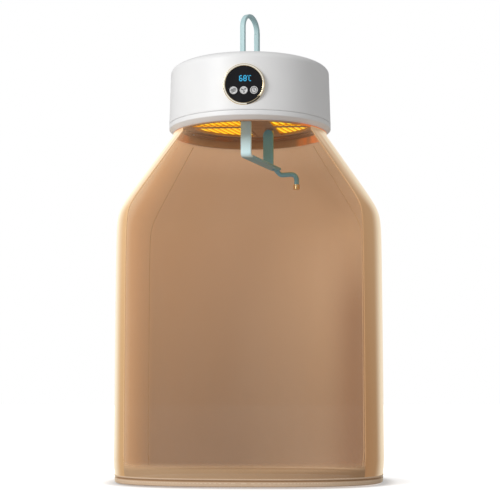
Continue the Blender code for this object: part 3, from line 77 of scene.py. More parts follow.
# Arm, whose frame stands on its pivots: +Y runs from the front post to the rear post
ARM_YAW, ARM_PLACE = math.radians(-16.5), (0.0225, 0, -0.219)
ARM, ARM_THICK, ARM_EASE = 0.022, 0.0055, 0.0012
ARM_DROP, ARM_FRONT, ARM_REAR, ARM_END, ARM_BEND = 0.065, -0.0855, 0.045, 0.093, 0.00675
TAIL, TAIL_BEND, TAIL_RUN, TAIL_SINK, TAIL_DROP = 0.005, 0.012, 0.044, 0.012, 0.031
ARM_PIN, ARM_PIN_HEAD, CAP_BORE, CAP_RADIUS, CAP_WAIST = 0.003, 0.005, 0.0054, 0.0066, 0.0062

# Windows and elements
WINDOW_RADIUS, WINDOW_SHIFT = 0.1265, 0.003
STRIP_YAW, STRIP_MIDDLE, STRIP_HALF = math.radians(-6.5), 0.0165 * math.cos(math.radians(6.5)), 0.027
ROW_SPLIT, ROW_BAR, FIN_PITCH, FIN_WIDTH, FIN_INSET = 0.020, 0.006, 0.0125, 0.0078, 0.0035
ELEMENT_FOOT, ELEMENT_TOP, ELEMENT_MARGIN, FIN_FOOT, FIN_SEAT = -0.2017, -0.1997, 0.0025, -0.2040, 0.0002

# Bag. The rows of its grid lie closest where the shoulder rounds into the wall.
NECK_RADIUS, HALF_WIDTH, HALF_DEPTH, COLLAR_BORE, COLLAR_WALL = 0.158, 0.270, 0.235, 0.1502, 0.002
BAG_TOP, BAG_NECK, BAG_FOOT, HEM_TOP, TUCK = -0.2286, -0.2311, -0.931, -0.917, 0.0008
SLOPE, SLOPE_ROUNDING, SQUARENESS = math.tan(math.radians(34.3)), 0.014, 2.8
ROUNDING_TOP, ROUNDING_FOOT, FOOT_START, FOOT_IN = -0.36, -0.46, -0.885, 0.0045
SEAM_TURN, PANEL_STEP, SEAM_ALLOWANCE = math.radians(36), math.radians(1.25), 0.01
PIPING, PIPING_IN = 0.0011, 0.0012
GROOVE, STITCHES, PAINTED_SHADE_TOP, PAINTED_SHADE_FOOT = -0.9203, -0.9245, -0.9290, -0.9312

# Waves of the weaves: radians a metre, and radians a whole turn of the hem
THREADS, RIBS_UP, RIBS_ROUND, STITCHES_ROUND = 5200, 6000, 4000, 1600

FLOOR, FLOOR_REACH = -0.9335, 30


# Shapes: each is (points, faces)

def unit(vectors):
    """Vectors divided by their lengths, with a zero vector left at zero."""
    return vectors / np.maximum(np.linalg.norm(vectors, axis=-1, keepdims=True), 1e-12)


def smooth(share):
    """A rise from 0 to 1 that is level at both ends: s squared times (3 - 2 s)."""
    return share ** 2 * (3 - 2 * share)


def skin(grid, wrap_rows=False, wrap_columns=False, caps=False):
    """The cells of a grid of points. A wrap joins the last row or column to the first, and caps fill the end
    rows."""
    rows, columns = grid.shape[:2]
    index = np.arange(rows * columns).reshape(rows, columns)
    ends = [index[0].tolist(), index[-1].tolist()]
    if wrap_rows:
        index = np.vstack([index, index[:1]])
    if wrap_columns:
        index = np.hstack([index, index[:, :1]])
    cells = np.stack([index[:-1, :-1], index[1:, :-1], index[1:, 1:], index[:-1, 1:]], -1).reshape(-1, 4)
    return grid.reshape(-1, 3), cells.tolist() + (ends if caps else [])


def joined(*shapes):
    """Several shapes in one list of points and one of faces."""
    points, faces, first = [], [], 0
    for some, cells in shapes:
        points.append(some)
        faces += [[first + k for k in cell] for cell in cells]
        first += len(some)
    return np.vstack(points), faces


def placed(shape, place=(0, 0, 0), yaw=0.0):
    """A shape turned about +Z and moved: x' = x cos - y sin, y' = x sin + y cos."""
    points, faces = shape
    c, s = math.cos(yaw), math.sin(yaw)
    return points @ np.array([[c, s, 0], [-s, c, 0], [0, 0, 1]]) + np.array(place), faces


def upright(shape):
    """A shape drawn flat, stood up: its second axis becomes height, and its thickness runs along +Y."""
    return shape[0][:, [0, 2, 1]], shape[1]


def sideways(shape):
    """A shape drawn flat, stood across the strap: its thickness runs along X, its axes along Y and Z."""
    return shape[0][:, [2, 0, 1]], shape[1]


def spun(outline, turn):
    """A flat outline turned about its origin: x' = x cos - y sin, y' = x sin + y cos."""
    c, s = math.cos(turn), math.sin(turn)
    return outline @ np.array([[c, s], [-s, c]])


def eased(corners, radii, steps=6):
    """An outline with an arc at each corner. The arc touches both sides, so its centre lies on the bisector
    at radius / sin(half the corner's angle), and its points swing evenly from one side's spoke to the
    other's."""
    corners = np.asarray(corners, float)
    back, ahead = np.roll(corners, 1, 0) - corners, np.roll(corners, -1, 0) - corners
    room = 0.49 * np.minimum(np.linalg.norm(back, axis=1), np.linalg.norm(ahead, axis=1))
    back, ahead = unit(back), unit(ahead)
    half = np.arccos(np.clip((back * ahead).sum(1), -1, 1)) / 2
    reach = np.minimum(np.broadcast_to(radii, len(corners)) / np.tan(half), room)
    size = reach * np.tan(half)
    centre = corners + unit(back + ahead) * (size / np.sin(half))[:, None]
    first, last = corners + back * reach[:, None] - centre, corners + ahead * reach[:, None] - centre
    share = np.linspace(0, 1, steps + 1)[None, :, None]
    spokes = unit(first[:, None] * (1 - share) + last[:, None] * share) * size[:, None, None]
    points = (centre[:, None] + spokes).reshape(-1, 2)
    return points[np.linalg.norm(points - np.roll(points, 1, 0), axis=1) > 1e-6]


def at_turns(centre, radius, turns):
    """centre + radius (cos t, sin t)."""
    return np.stack([centre[0] + radius * np.cos(turns), centre[1] + radius * np.sin(turns)], 1)


def circle(radius, count, centre=(0, 0)):
    """Points at equal turns round a centre."""
    return at_turns(centre, radius, np.linspace(0, 2 * math.pi, count, endpoint=False))


def arc(centre, radius, start, end, steps):
    """Points from one angle to another, in degrees from the first axis."""
    return at_turns(centre, radius, np.radians(np.linspace(start, end, steps + 1)))


def box(width, height, centre=(0, 0)):
    """The corners of a rectangle."""
    a, b = width / 2, height / 2
    return np.array([(-a, -b), (a, -b), (a, b), (-a, b)]) + np.array(centre)


def round_grid(radius, height, turns):
    """A profile carried round +Z: (r cos t, r sin t, h)."""
    radius, height = radius[:, None], np.repeat(height[:, None], len(turns), 1)
    return np.stack([radius * np.cos(turns), radius * np.sin(turns), height], -1)


def turned(profile, count, centre=(0, 0, 0)):
    """A profile of corners (radius, height, rounding), eased and carried round +Z. One that starts on the
    axis is open there, and any other closes on itself as a ring."""
    corners = np.asarray(profile, float)
    radius, height = eased(corners[:, :2], corners[:, 2]).T
    grid = round_grid(radius, height, np.linspace(0, 2 * math.pi, count, endpoint=False))
    return skin(grid + np.array(centre), wrap_rows=bool(corners[0, 0] > 0), wrap_columns=True)


def strap(path, widths, thick, ease, steps=4):
    """Flat steel along a path in the Y-Z plane: at each point a rounded rectangle stands square to the
    path, its width along X. Each corner is a quarter circle, narrower than half the width where a round end
    closes."""
    path = np.asarray(path, float)
    runs = unit(np.gradient(path, axis=0))
    normals = np.stack([runs[:, 1], -runs[:, 0]], 1)
    turns = np.radians(np.concatenate([np.linspace(q, q + 90, steps + 1) for q in (0, 90, 180, 270)]))
    signs = np.repeat(np.array([(1, 1), (-1, 1), (-1, -1), (1, -1)]), steps + 1, axis=0)
    half = np.broadcast_to(widths, len(path))[:, None] / 2
    round_off = np.minimum(ease, half * 0.98)
    across = signs[:, 0] * (half - round_off) + round_off * np.cos(turns)
    out = signs[:, 1] * (thick / 2 - round_off) + round_off * np.sin(turns)
    plane = path[:, None] + out[..., None] * normals[:, None]
    return skin(np.concatenate([across[..., None], plane], -1), wrap_columns=True, caps=True)


def tube(path, radius, count):
    """A round bar: circles square to the path, whose side vectors are carried along by removing the part
    along the path."""
    runs = unit(np.gradient(path, axis=0))
    side = np.cross(runs[0], (0.13, 0.31, 0.94))
    sides = np.empty_like(path)
    for k, run in enumerate(runs):
        side = unit(side - run * (side @ run))
        sides[k] = side
    ups = np.cross(runs, sides)
    turns = np.linspace(0, 2 * math.pi, count, endpoint=False)[None, :, None]
    grid = path[:, None] + radius * (np.cos(turns) * sides[:, None] + np.sin(turns) * ups[:, None])
    return skin(grid, wrap_columns=True, caps=True)


def plate(outlines, low, high, ease=0.0):
    """Flat outlines with their holes, filled and given a thickness, with rounded rims of the given
    radius."""
    curve = bpy.data.curves.new("outline", "CURVE")
    curve.dimensions, curve.fill_mode = "2D", "BOTH"
    curve.extrude, curve.bevel_depth = (high - low) / 2 - ease, ease
    curve.bevel_resolution, curve.offset = 3, -ease
    for outline in outlines:
        line = curve.splines.new("POLY")
        line.points.add(len(outline) - 1)
        line.points.foreach_set("co", np.pad(np.asarray(outline, float), ((0, 0), (0, 2))).ravel())
        line.use_cyclic_u = True
    holder = bpy.data.objects.new("outline", curve)
    mesh = bpy.data.meshes.new_from_object(holder)
    points = np.empty(len(mesh.vertices) * 3, np.float32)
    mesh.vertices.foreach_get("co", points)
    faces = [list(face.vertices) for face in mesh.polygons]
    bpy.data.objects.remove(holder)
    return points.reshape(-1, 3).astype(float) + np.array((0, 0, (low + high) / 2)), faces


def ribbon(path, width):
    """The outline of a stroke along a flat path: its points moved out to both sides by half the width."""
    path = np.asarray(path, float)
    runs = unit(np.gradient(path, axis=0))
    side = np.stack([-runs[:, 1], runs[:, 0]], 1) * width / 2
    return np.vstack([path + side, (path - side)[::-1]])


def clipped(outline, normal, limit):
    """The part of a convex outline where its distance along the normal is at most the limit."""
    over = outline @ np.asarray(normal) - limit
    ahead, over_ahead = np.roll(outline, -1, 0), np.roll(over, -1)
    crosses = over * over_ahead < 0
    share = np.where(crosses, over / np.where(crosses, over - over_ahead, 1), 0)
    cuts = outline + share[:, None] * (ahead - outline)
    both = np.stack([outline, cuts], 1).reshape(-1, 2)
    return both[np.stack([over <= 0, crosses], 1).ravel()]


def sharpen_rims(mesh):
    """Marks the edges with only one face as sharp, so that a wall's rim gets its own shading."""
    sides = np.empty(len(mesh.loops), np.int32)
    mesh.loops.foreach_get("edge_index", sides)
    sharp = np.empty(len(mesh.edges), bool)
    mesh.edges.foreach_get("use_edge_sharp", sharp)
    mesh.edges.foreach_set("use_edge_sharp", sharp | (np.bincount(sides, minlength=len(sharp)) == 1))


def build(name, shape, finish, body, slot, replaced=(), angle=35, shell=0.0, outward=None, **readings):
    """One finished piece: doubles merged, faces turned outward, shaded smooth, ridden on its body. Each
    reading is a number stored on every point, under its own name, for the finish to use."""
    points, faces = shape
    mesh = bpy.data.meshes.new(name)
    mesh.from_pydata(points.tolist(), [], faces)
    for label, values in readings.items():
        numbers = np.broadcast_to(values, len(points)).astype(np.float32)
        mesh.attributes.new(label, "FLOAT", "POINT").data.foreach_set("value", numbers)
    work = bmesh.new()
    work.from_mesh(mesh)
    bmesh.ops.remove_doubles(work, verts=work.verts, dist=SAME_POINT)
    bmesh.ops.dissolve_degenerate(work, edges=work.edges, dist=SLIVER)
    bmesh.ops.recalc_face_normals(work, faces=work.faces)
    if outward and sum(face.normal.dot(outward(face.calc_center_median())) for face in work.faces) < 0:
        bmesh.ops.reverse_faces(work, faces=work.faces)
    work.to_mesh(mesh)
    work.free()
    mesh.shade_smooth()
    mesh.set_sharp_from_angle(angle=math.radians(angle))
    mesh.materials.append(finish)
    piece = bpy.data.objects.new(name, mesh)
    bpy.context.collection.objects.link(piece)
    if shell:
        sharpen_rims(mesh)
        wall = piece.modifiers.new("wall", "SOLIDIFY")
        wall.thickness, wall.offset, wall.use_even_offset = shell, -1, True
    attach(piece, body)
    if replaced:
        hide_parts(*replaced)
    return piece


# Finishes

class Reading:
    """A number that varies over a surface. Sums written with it add the shader's Math nodes."""

    def __init__(self, finish, socket):
        self.finish, self.socket = finish, socket

    def reckon(self, operation, *others):
        return self.finish.node("ShaderNodeMath", {"operation": operation}, dict(enumerate((self, *others))))

    def __add__(self, other):
        return self.reckon("ADD", other)

    def __sub__(self, other):
        return self.reckon("SUBTRACT", other)

    def __mul__(self, other):
        return self.reckon("MULTIPLY", other)

    def __truediv__(self, other):
        return self.reckon("DIVIDE", other)

    def __rsub__(self, other):
        return self.finish.node("ShaderNodeMath", {"operation": "SUBTRACT"}, {0: other, 1: self})

    def __pow__(self, other):
        return self.reckon("POWER", other)

    __radd__, __rmul__ = __add__, __mul__

    def size(self):
        return self.reckon("ABSOLUTE")

    def sine(self):
        return self.reckon("SINE")

    def hypot(self, other):
        """The square root of the sum of both squares."""
        return (self * self + other * other).reckon("SQRT")

    def step(self, low, high):
        """0 below low and 1 above high, with a smooth rise between them."""
        settings = {"interpolation_type": "SMOOTHSTEP"}
        return self.finish.node("ShaderNodeMapRange", settings,
                                {"Value": self, "From Min": low, "From Max": high})


class Finish:
    """One material: a Principled shader whose fixed values are set on its sockets, and what varies is
    linked."""

    def __init__(self, name, **fixed):
        self.material = bpy.data.materials.new(name)
        self.material.use_nodes = True
        self.tree = self.material.node_tree
        self.shader = self.tree.nodes["Principled BSDF"]
        self.place = self.node("ShaderNodeTexCoord", output="Object")
        for socket, value in fixed.items():
            self.shader.inputs[socket.replace("_", " ")].default_value = value

    def node(self, kind, settings=None, inputs=None, output=0):
        made = self.tree.nodes.new(kind)
        for name, value in (settings or {}).items():
            if name == "stops":
                stops = made.color_ramp.elements
                while len(stops) < len(value):
                    stops.new(0.5)
                for stop, (at, colour) in zip(stops, value):
                    stop.position, stop.color = at, (*colour, 1)
            else:
                setattr(made, name, value)
        for socket, value in (inputs or {}).items():
            if isinstance(value, Reading):
                self.tree.links.new(value.socket, made.inputs[socket])
            else:
                made.inputs[socket].default_value = value
        return Reading(self, made.outputs[output])

    def along(self, axis):
        """One of the object's own coordinates."""
        return self.node("ShaderNodeSeparateXYZ", inputs={0: self.place}, output="XYZ".index(axis))

    def own(self, name):
        """A number stored on the piece's points."""
        return self.node("ShaderNodeAttribute", {"attribute_name": name}, output="Fac")

    def turned_away(self):
        """0 where the surface is seen face on and 1 where it is seen along itself."""
        return self.node("ShaderNodeLayerWeight", inputs={"Blend": 0.5}, output="Facing")

    def noise(self, scale, detail, stretch=(1, 1, 1)):
        where = self.node("ShaderNodeMapping", inputs={"Vector": self.place, "Scale": stretch})
        return self.node("ShaderNodeTexNoise", inputs={"Vector": where, "Scale": scale, "Detail": detail,
                                                       "Roughness": 0.55})

    def ramp(self, value, stops):
        return self.node("ShaderNodeValToRGB", {"stops": stops}, {0: value})

    def blend(self, share, first, second):
        """One colour run into another."""
        first, second = ((*c, 1) if isinstance(c, tuple) else c for c in (first, second))
        return self.node("ShaderNodeMix", {"data_type": "RGBA"}, {0: share, 6: first, 7: second}, output=2)

    def done(self, relief=None, **varying):
        """The material, once what varies is linked. A relief is (height, distance, strength) for a bump."""
        if relief:
            bump = dict(zip(("Height", "Distance", "Strength"), relief))
            varying["Normal"] = self.node("ShaderNodeBump", inputs=bump)
        for socket, value in varying.items():
            self.tree.links.new(value.socket, self.shader.inputs[socket.replace("_", " ")])
        return self.material


def white_shell(name="white_shell", lining=0.0):
    """Satin white moulding: a faint cloud in the colour, a fine ripple and a little dust in the gloss. Inside
    the radius of the lining it is painted tan, with patches of painted orange glow from the elements."""
    finish = Finish(name, IOR=1.4)
    white = finish.blend(finish.noise(9, 2), (0.80, 0.80, 0.805), (0.86, 0.858, 0.85))
    inside = 1 - finish.along("X").hypot(finish.along("Y")).step(lining, lining + 0.0002)
    # tan inside the lining, with patches of painted orange glow from the elements
    warm = finish.blend(finish.noise(17, 2).step(0.5, 0.7), (0.46, 0.27, 0.17), (0.62, 0.25, 0.09))
    return finish.done(Base_Color=finish.blend(inside, white, warm),
                       Roughness=0.36 + 0.10 * finish.noise(60, 4),
                       relief=(finish.noise(900, 2), 0.00004, 0.5))


def blue_steel(name, painted_light):
    """Satin powder coat over steel: orange peel in the surface and a slow drift of the colour. By the share
    given, painted light makes the front post pale, and painted shade makes the parts behind it deeper and
    greener."""
    finish = Finish(name, IOR=1.4)
    drift = finish.noise(14, 3)
    behind = finish.along("Y").step(-0.083, -0.072)
    base = finish.blend(drift, (0.43, 0.61, 0.63), (0.50, 0.68, 0.69))
    # painted shade: the parts behind the front post deeper and greener
    base = finish.blend((drift * 0.2 + behind * 0.75) * painted_light, base, (0.10, 0.44, 0.66))
    # painted light: the front post pale
    base = finish.blend((1 - behind) * painted_light, base, (0.66, 0.93, 0.98))
    fleck = finish.noise(1500, 1).step(0.62, 0.75)
    return finish.done(Base_Color=finish.blend(fleck * 0.2, base, (0.60, 0.74, 0.75)),
                       Roughness=0.34 + 0.14 * finish.noise(120, 3),
                       relief=(finish.noise(700, 2), 0.00012, 0.6))


def bright_steel():
    """Rolled steel with fine scratches along one way and duller patches."""
    finish = Finish("bright_steel", Metallic=1.0)
    lines = finish.noise(260, 4, (1, 0.04, 1))
    return finish.done(Base_Color=finish.blend(finish.noise(30, 3), (0.50, 0.50, 0.51), (0.66, 0.66, 0.66)),
                       Roughness=0.20 + 0.28 * lines, relief=(lines, 0.00005, 0.5))


def heater_tan():
    """Heat-proof tan paint, browner and duller where the elements have warmed it."""
    finish = Finish("heater_tan", IOR=1.45)
    warmed = finish.noise(26, 4).step(0.3, 0.75)
    return finish.done(Base_Color=finish.blend(warmed, (0.50, 0.345, 0.25), (0.36, 0.225, 0.15)),
                       Roughness=0.42 + 0.2 * finish.noise(90, 3),
                       relief=(finish.noise(600, 2), 0.0001, 0.5))


def element_glow(name, bright, deep):
    """A hot element: its light runs from deep orange at the edges of a fin to bright yellow along its middle,
    and the elements on the right run hotter."""
    finish = Finish(name, Roughness=0.6, Emission_Strength=1.0)
    middle = finish.own("middle")
    hotter = finish.blend(finish.along("X").step(-0.02, 0.04), bright, (1.0, 0.82, 0.03))
    hot = finish.blend(middle.step(0.05, 0.6), deep, hotter)
    patches = finish.noise(42, 3).step(0.35, 0.7)
    return finish.done(Base_Color=finish.blend(middle, (0.35, 0.12, 0.02), (0.5, 0.3, 0.05)),
                       Emission_Color=finish.blend(patches * 0.25, hot, deep),
                       relief=(finish.noise(500, 2), 0.0002, 0.4))


def moulding(name, colour, lighter, roughness):
    """A plain inner moulding with a fine spark texture."""
    finish = Finish(name)
    return finish.done(Base_Color=finish.blend(finish.noise(40, 3), colour, lighter),
                       Roughness=roughness + 0.12 * finish.noise(150, 2),
                       relief=(finish.noise(1200, 2), 0.00008, 0.7))


def black_glass():
    """A polished black window, with a few faint wipe marks in its gloss."""
    finish = Finish("black_glass", IOR=1.33)
    wipe = finish.noise(35, 4, (1, 1, 0.25)).step(0.45, 0.8)
    return finish.done(Base_Color=finish.blend(wipe, (0.008, 0.008, 0.010), (0.016, 0.016, 0.019)),
                       Roughness=0.06 + 0.12 * wipe)


def bezel_gold():
    """Polished pale gold at both rims of the bezel, satin cream between them, and a painted dark reflection,
    a black arc at the lower right."""
    finish = Finish("bezel_gold", IOR=1.5, Coat_Weight=0.4, Coat_Roughness=0.1)
    across, up = finish.along("X"), finish.along("Z") - DISPLAY_HEIGHT
    radius = across.hypot(up)
    turn = finish.node("ShaderNodeMath", {"operation": "ARCTAN2"}, {0: up, 1: across})
    cream_radius, arc_radius, arc_turn = 0.0387, 0.0392, math.radians(-59)
    middle = 1 - (radius - cream_radius).size().step(0.0007, 0.0013)
    # painted dark reflection: a black arc on the bezel at the lower right
    dark = 1 - (turn - arc_turn).size().step(math.radians(21), math.radians(24))
    dark = dark * (1 - (radius - arc_radius).size().step(0.0012, 0.0018))
    gold = finish.blend(finish.noise(80, 2), (0.80, 0.60, 0.30), (0.90, 0.74, 0.45))
    cream = finish.blend(finish.noise(80, 2), (0.80, 0.77, 0.69), (0.88, 0.86, 0.81))
    face = finish.blend(middle, gold, cream)
    return finish.done(Base_Color=finish.blend(dark, face, (0.012, 0.012, 0.014)),
                       Metallic=(1 - middle) * (1 - dark) * 0.9,
                       Roughness=0.16 + 0.16 * middle + 0.05 * finish.noise(200, 2))


def silver_button():
    """A silver-grey key, spun in rings."""
    finish = Finish("silver_button", Metallic=0.25, IOR=1.5)
    rings = finish.noise(420, 2, (1, 0.2, 1))
    return finish.done(Base_Color=finish.blend(rings, (0.60, 0.60, 0.605), (0.78, 0.78, 0.785)),
                       Roughness=0.26 + 0.2 * rings)


def key_mark():
    """The dark print on a key."""
    finish = Finish("key_mark")
    ink = finish.noise(700, 2)
    return finish.done(Base_Color=finish.blend(ink, (0.03, 0.03, 0.033), (0.055, 0.055, 0.06)),
                       Roughness=0.4 + 0.1 * finish.noise(300, 2))


def digit_light():
    """A lit segment: cyan blue, with the faint grain of the diffuser."""
    finish = Finish("digit_light", Roughness=0.5, Emission_Strength=1.0)
    grain = finish.noise(1400, 2)
    return finish.done(Base_Color=finish.blend(grain, (0.01, 0.08, 0.15), (0.02, 0.12, 0.2)),
                       Emission_Color=finish.blend(grain, (0.01, 0.34, 0.62), (0.03, 0.47, 0.78)))


def board_green():
    """A circuit board's lacquer, with paler tracks."""
    finish = Finish("board_green", IOR=1.5, Coat_Weight=0.3)
    tracks = finish.noise(300, 1, (1, 1, 0.15)).step(0.52, 0.56)
    return finish.done(Base_Color=finish.blend(tracks, (0.02, 0.13, 0.05), (0.07, 0.28, 0.12)),
                       Roughness=0.35 + 0.2 * finish.noise(90, 2))


def filter_mesh():
    """Dark woven filter: two crossed waves, a thread every 1.2 mm."""
    finish = Finish("filter_mesh", IOR=1.4)
    threads = (finish.along("X") * THREADS).sine() * (finish.along("Y") * THREADS).sine()
    lit = threads.step(-0.3, 0.6)
    return finish.done(Base_Color=finish.blend(lit, (0.015, 0.015, 0.017), (0.13, 0.13, 0.14)),
                       Roughness=0.75 + 0.15 * finish.noise(200, 2), relief=(threads, 0.0002, 1.0))


def brass():
    """Turned brass, faintly tarnished."""
    finish = Finish("bearing_brass", Metallic=1.0)
    tarnish = finish.noise(70, 4)
    dull = tarnish.step(0.4, 0.8)
    return finish.done(Base_Color=finish.blend(dull, (0.80, 0.62, 0.33), (0.52, 0.36, 0.16)),
                       Roughness=0.22 + 0.25 * tarnish)


def crinkle(finish):
    """The film's slack puckers, drawn out down the bag."""
    return finish.noise(16, 4, (1, 1, 0.35)), 0.0016, 0.6


def bag_front():
    """The clear front film: nearly unseen face on, milky where it turns away, denser in the band above the
    hem, where painted shade, brown and darker to the right, stands in for the shaded inside of the bag. It
    glows faintly with painted light. Slack puckers and a fine crinkle stand in its surface."""
    finish = Finish("bag_film_front", IOR=1.3, Emission_Strength=0.1)
    down, around = finish.own("down"), finish.own("around")
    band = down.step(0.955, 0.985)
    cloud = finish.noise(7, 3, (1, 1, 0.4))
    # painted shade: the dense brown strip above the hem stands in for the shaded inside, darker to the right
    foot = finish.blend(around.step(0.3, 0.9), (0.41, 0.25, 0.13), (0.35, 0.19, 0.085))
    colour = finish.blend(band, (0.80, 0.53, 0.30), foot)
    haze = (0.03 + 0.02 * cloud) * down.step(0.0, 0.16)
    clear = haze + 0.8 * finish.turned_away() ** 3.0 + 0.08 * (around - 0.5).size().step(0.36, 0.5)
    # The emission is a faint painted glow in the film's own colour.
    return finish.done(Base_Color=finish.blend(cloud * 0.2, colour, (0.88, 0.72, 0.54)),
                       Emission_Color=colour, Alpha=clear + band * 0.9,
                       Roughness=0.42 + 0.2 * finish.noise(40, 3), relief=crinkle(finish))


def bag_back():
    """The warm film of the sides and the back: brown across the back, with a soft cloud, long slack puckers
    and a fine crinkle. Painted light is in its colour: painted glow where it rounds the sides, most on the
    left, painted warm light from the elements fading down the bag and brighter just under the neck, painted
    shade low on the right, and a painted cream sheen at the outline. It also glows with painted light, more
    along the right edge."""
    finish = Finish("bag_film_back", IOR=1.25, Emission_Strength=0.5)
    down, around = finish.own("down"), finish.own("around")
    cloud = finish.noise(6, 3, (1, 1, 0.35))
    reach = around + (cloud - 0.5) * 0.012
    # The ramp paints light round the bag: painted glow where the film rounds each side, brightest on the left,     and painted shade on the right toward the back.
    colour = finish.ramp(reach, [
        (0.0, (0.50, 0.26, 0.115)), (0.07, (0.54, 0.32, 0.155)), (0.12, (0.72, 0.48, 0.27)),
        (0.17, (0.42, 0.245, 0.125)), (0.28, (0.33, 0.20, 0.11)), (0.50, (0.39, 0.25, 0.145)),
        (0.70, (0.42, 0.26, 0.145)), (0.80, (0.72, 0.42, 0.20)), (0.86, (0.90, 0.54, 0.26)),
        (0.93, (0.60, 0.39, 0.21)), (1.0, (0.52, 0.31, 0.14))])
    # painted warm light from the elements, fading down the bag
    colour = finish.blend(0.28 - 0.28 * down.step(0.15, 0.95), colour, (0.92, 0.61, 0.34))
    # painted shade low on the right
    shade = (1 - reach.step(0.30, 0.42)) * reach.step(0.14, 0.2) * down.step(0.2, 0.55)
    colour = finish.blend(shade * 0.8, colour, (0.22, 0.105, 0.045))
    # painted light just under the neck, against the collar's shadow
    colour = finish.blend(0.3 - 0.3 * down.step(0.0, 0.1), colour, (0.95, 0.72, 0.50))
    # painted cream sheen where the film is seen along itself
    edge = finish.turned_away().step(0.60, 0.96)
    colour = finish.blend(edge, colour, (1.0, 0.90, 0.70))
    # painted glow: half the colour everywhere, and cream along the right edge
    glow = finish.blend(edge * (1 - reach.step(0.16, 0.26)), finish.blend(0.5, colour, (0, 0, 0)),
                        (0.98, 0.77, 0.53))
    return finish.done(Base_Color=colour, Emission_Color=glow, Alpha=0.95 + 0.04 * cloud,
                       Roughness=0.45 + 0.2 * finish.noise(40, 3), relief=crinkle(finish))


def bag_binding():
    """Folded tape with the ribs of its weave: a light bead at its top, a groove darkened with painted shade
    and a row of stitches, and a light rim that painted shade darkens to its foot. A painted cream sheen lies
    where it is seen along itself, and it glows faintly with painted light."""
    finish = Finish("bag_binding", IOR=1.2, Emission_Strength=0.08)
    around, height, cloud = finish.own("around"), finish.along("Z"), finish.noise(30, 3)
    ribs = (height * RIBS_UP).sine() * (around * RIBS_ROUND).sine()
    groove = 1 - (height - GROOVE).size().step(0.0012, 0.0020)
    stitch = 1 - (height - STITCHES).size().step(0.0004, 0.0008)
    stitch = stitch * (around * STITCHES_ROUND).sine().step(-0.3, 0.3)
    colour = finish.blend(cloud, (0.60, 0.43, 0.29), (0.68, 0.51, 0.36))
    # painted shade in the groove
    colour = finish.blend(groove, colour, (0.37, 0.22, 0.12))
    # painted shade toward the foot of the tape
    colour = finish.blend((0 - height).step(-PAINTED_SHADE_TOP, -PAINTED_SHADE_FOOT), colour, (0.36, 0.25, 0.17))
    colour = finish.blend(stitch * 0.6, colour, (0.82, 0.70, 0.54))
    # painted cream sheen where the tape is seen along itself
    colour = finish.blend(finish.turned_away().step(0.75, 1.0) * 0.6, colour, (1.0, 0.90, 0.70))
    # The emission is a faint painted glow in the tape's own colour.
    return finish.done(Base_Color=colour, Emission_Color=colour, Roughness=0.55 + 0.2 * cloud,
                       relief=(ribs * 0.5 + stitch, 0.0002, 0.7))


def collar_tape():
    """The stiff band that holds the bag in the head's rim: warm brown, ribbed round, with patches of painted
    orange glow from the elements, most of all at the right."""
    finish = Finish("collar_tape", IOR=1.1, Emission_Strength=0.3)
    cloud, side = finish.noise(24, 3), finish.along("X")
    # lit: painted orange glow from the elements, in the base colour and the emission
    lit = side.step(0.085, 0.115) + 0.35 * (0 - side).step(0.12, 0.14)
    lit = lit * (0.2 + 0.8 * finish.noise(14, 2, (1, 1, 0.3)).step(0.36, 0.52))
    band = finish.blend(cloud, (0.40, 0.255, 0.165), (0.52, 0.35, 0.24))
    return finish.done(Base_Color=finish.blend(lit * 0.9, band, (0.95, 0.28, 0.07)),
                       Emission_Color=finish.blend(lit, (0, 0, 0), (0.85, 0.22, 0.04)),
                       Roughness=0.7 + 0.2 * cloud, relief=((finish.along("Z") * 5000).sine(), 0.0001, 0.6))


def solid_finishes():
    """Gives every solid that stays in sight its finish."""
    grey = moulding("grey_plastic", (0.36, 0.37, 0.38), (0.46, 0.47, 0.48), 0.45)
    dark = moulding("dark_plastic", (0.025, 0.025, 0.028), (0.05, 0.05, 0.055), 0.42)
    tables = {
        STEEL: ("swivel_nut", "upper_bridge", "lower_bridge", "tie_rod_front", "tie_rod_rear", "motor",
                "fan_shaft", "fan_nut", "thermal_fuse", "gate_spring", "hook_pin"),
        BRASS: ("thrust_washer", "swivel_bush"),
        grey: ("fan_housing", "button_pad", "arm_washer_front", "arm_washer_rear"),
        dark: ("fan_rotor", "thermostat", "power_inlet"),
        board_green(): ("control_board", "display_board"),
        filter_mesh(): ("intake_filter",),
        heater_tan(): ("heater_plate", "window_frame_left", "window_frame_right"),
    }
    for finish, names in tables.items():
        for name in names:
            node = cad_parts[name]
            node.data.materials.clear()
            node.data.materials.append(finish)


# Pieces

def wall_radius(height):
    """The casing's drafted wall: 3 mm slimmer at its top than at the seam."""
    return HEAD_RADIUS - WALL_DRAFT * (height - SEAM) / (WALL_TOP - SEAM)


def vented_top():
    """The flat top: a disc with the swivel's hole and sixteen radial slots with round ends."""
    low, high = SLOT_ENDS
    half = SLOT_WIDTH / 2
    slot = np.vstack([arc((high - half, 0), half, -90, 90, 6), arc((low + half, 0), half, 90, 270, 6)])
    slots = [spun(slot, 2 * math.pi * (k + 0.5) / SLOT_COUNT) for k in range(SLOT_COUNT)]
    outlines = [circle(FLAT_RADIUS + GAP, 360), circle(NECK_HOLE, 48), *slots]
    return plate(outlines, HEAD_TOP - SHELL, HEAD_TOP, 0.0003)


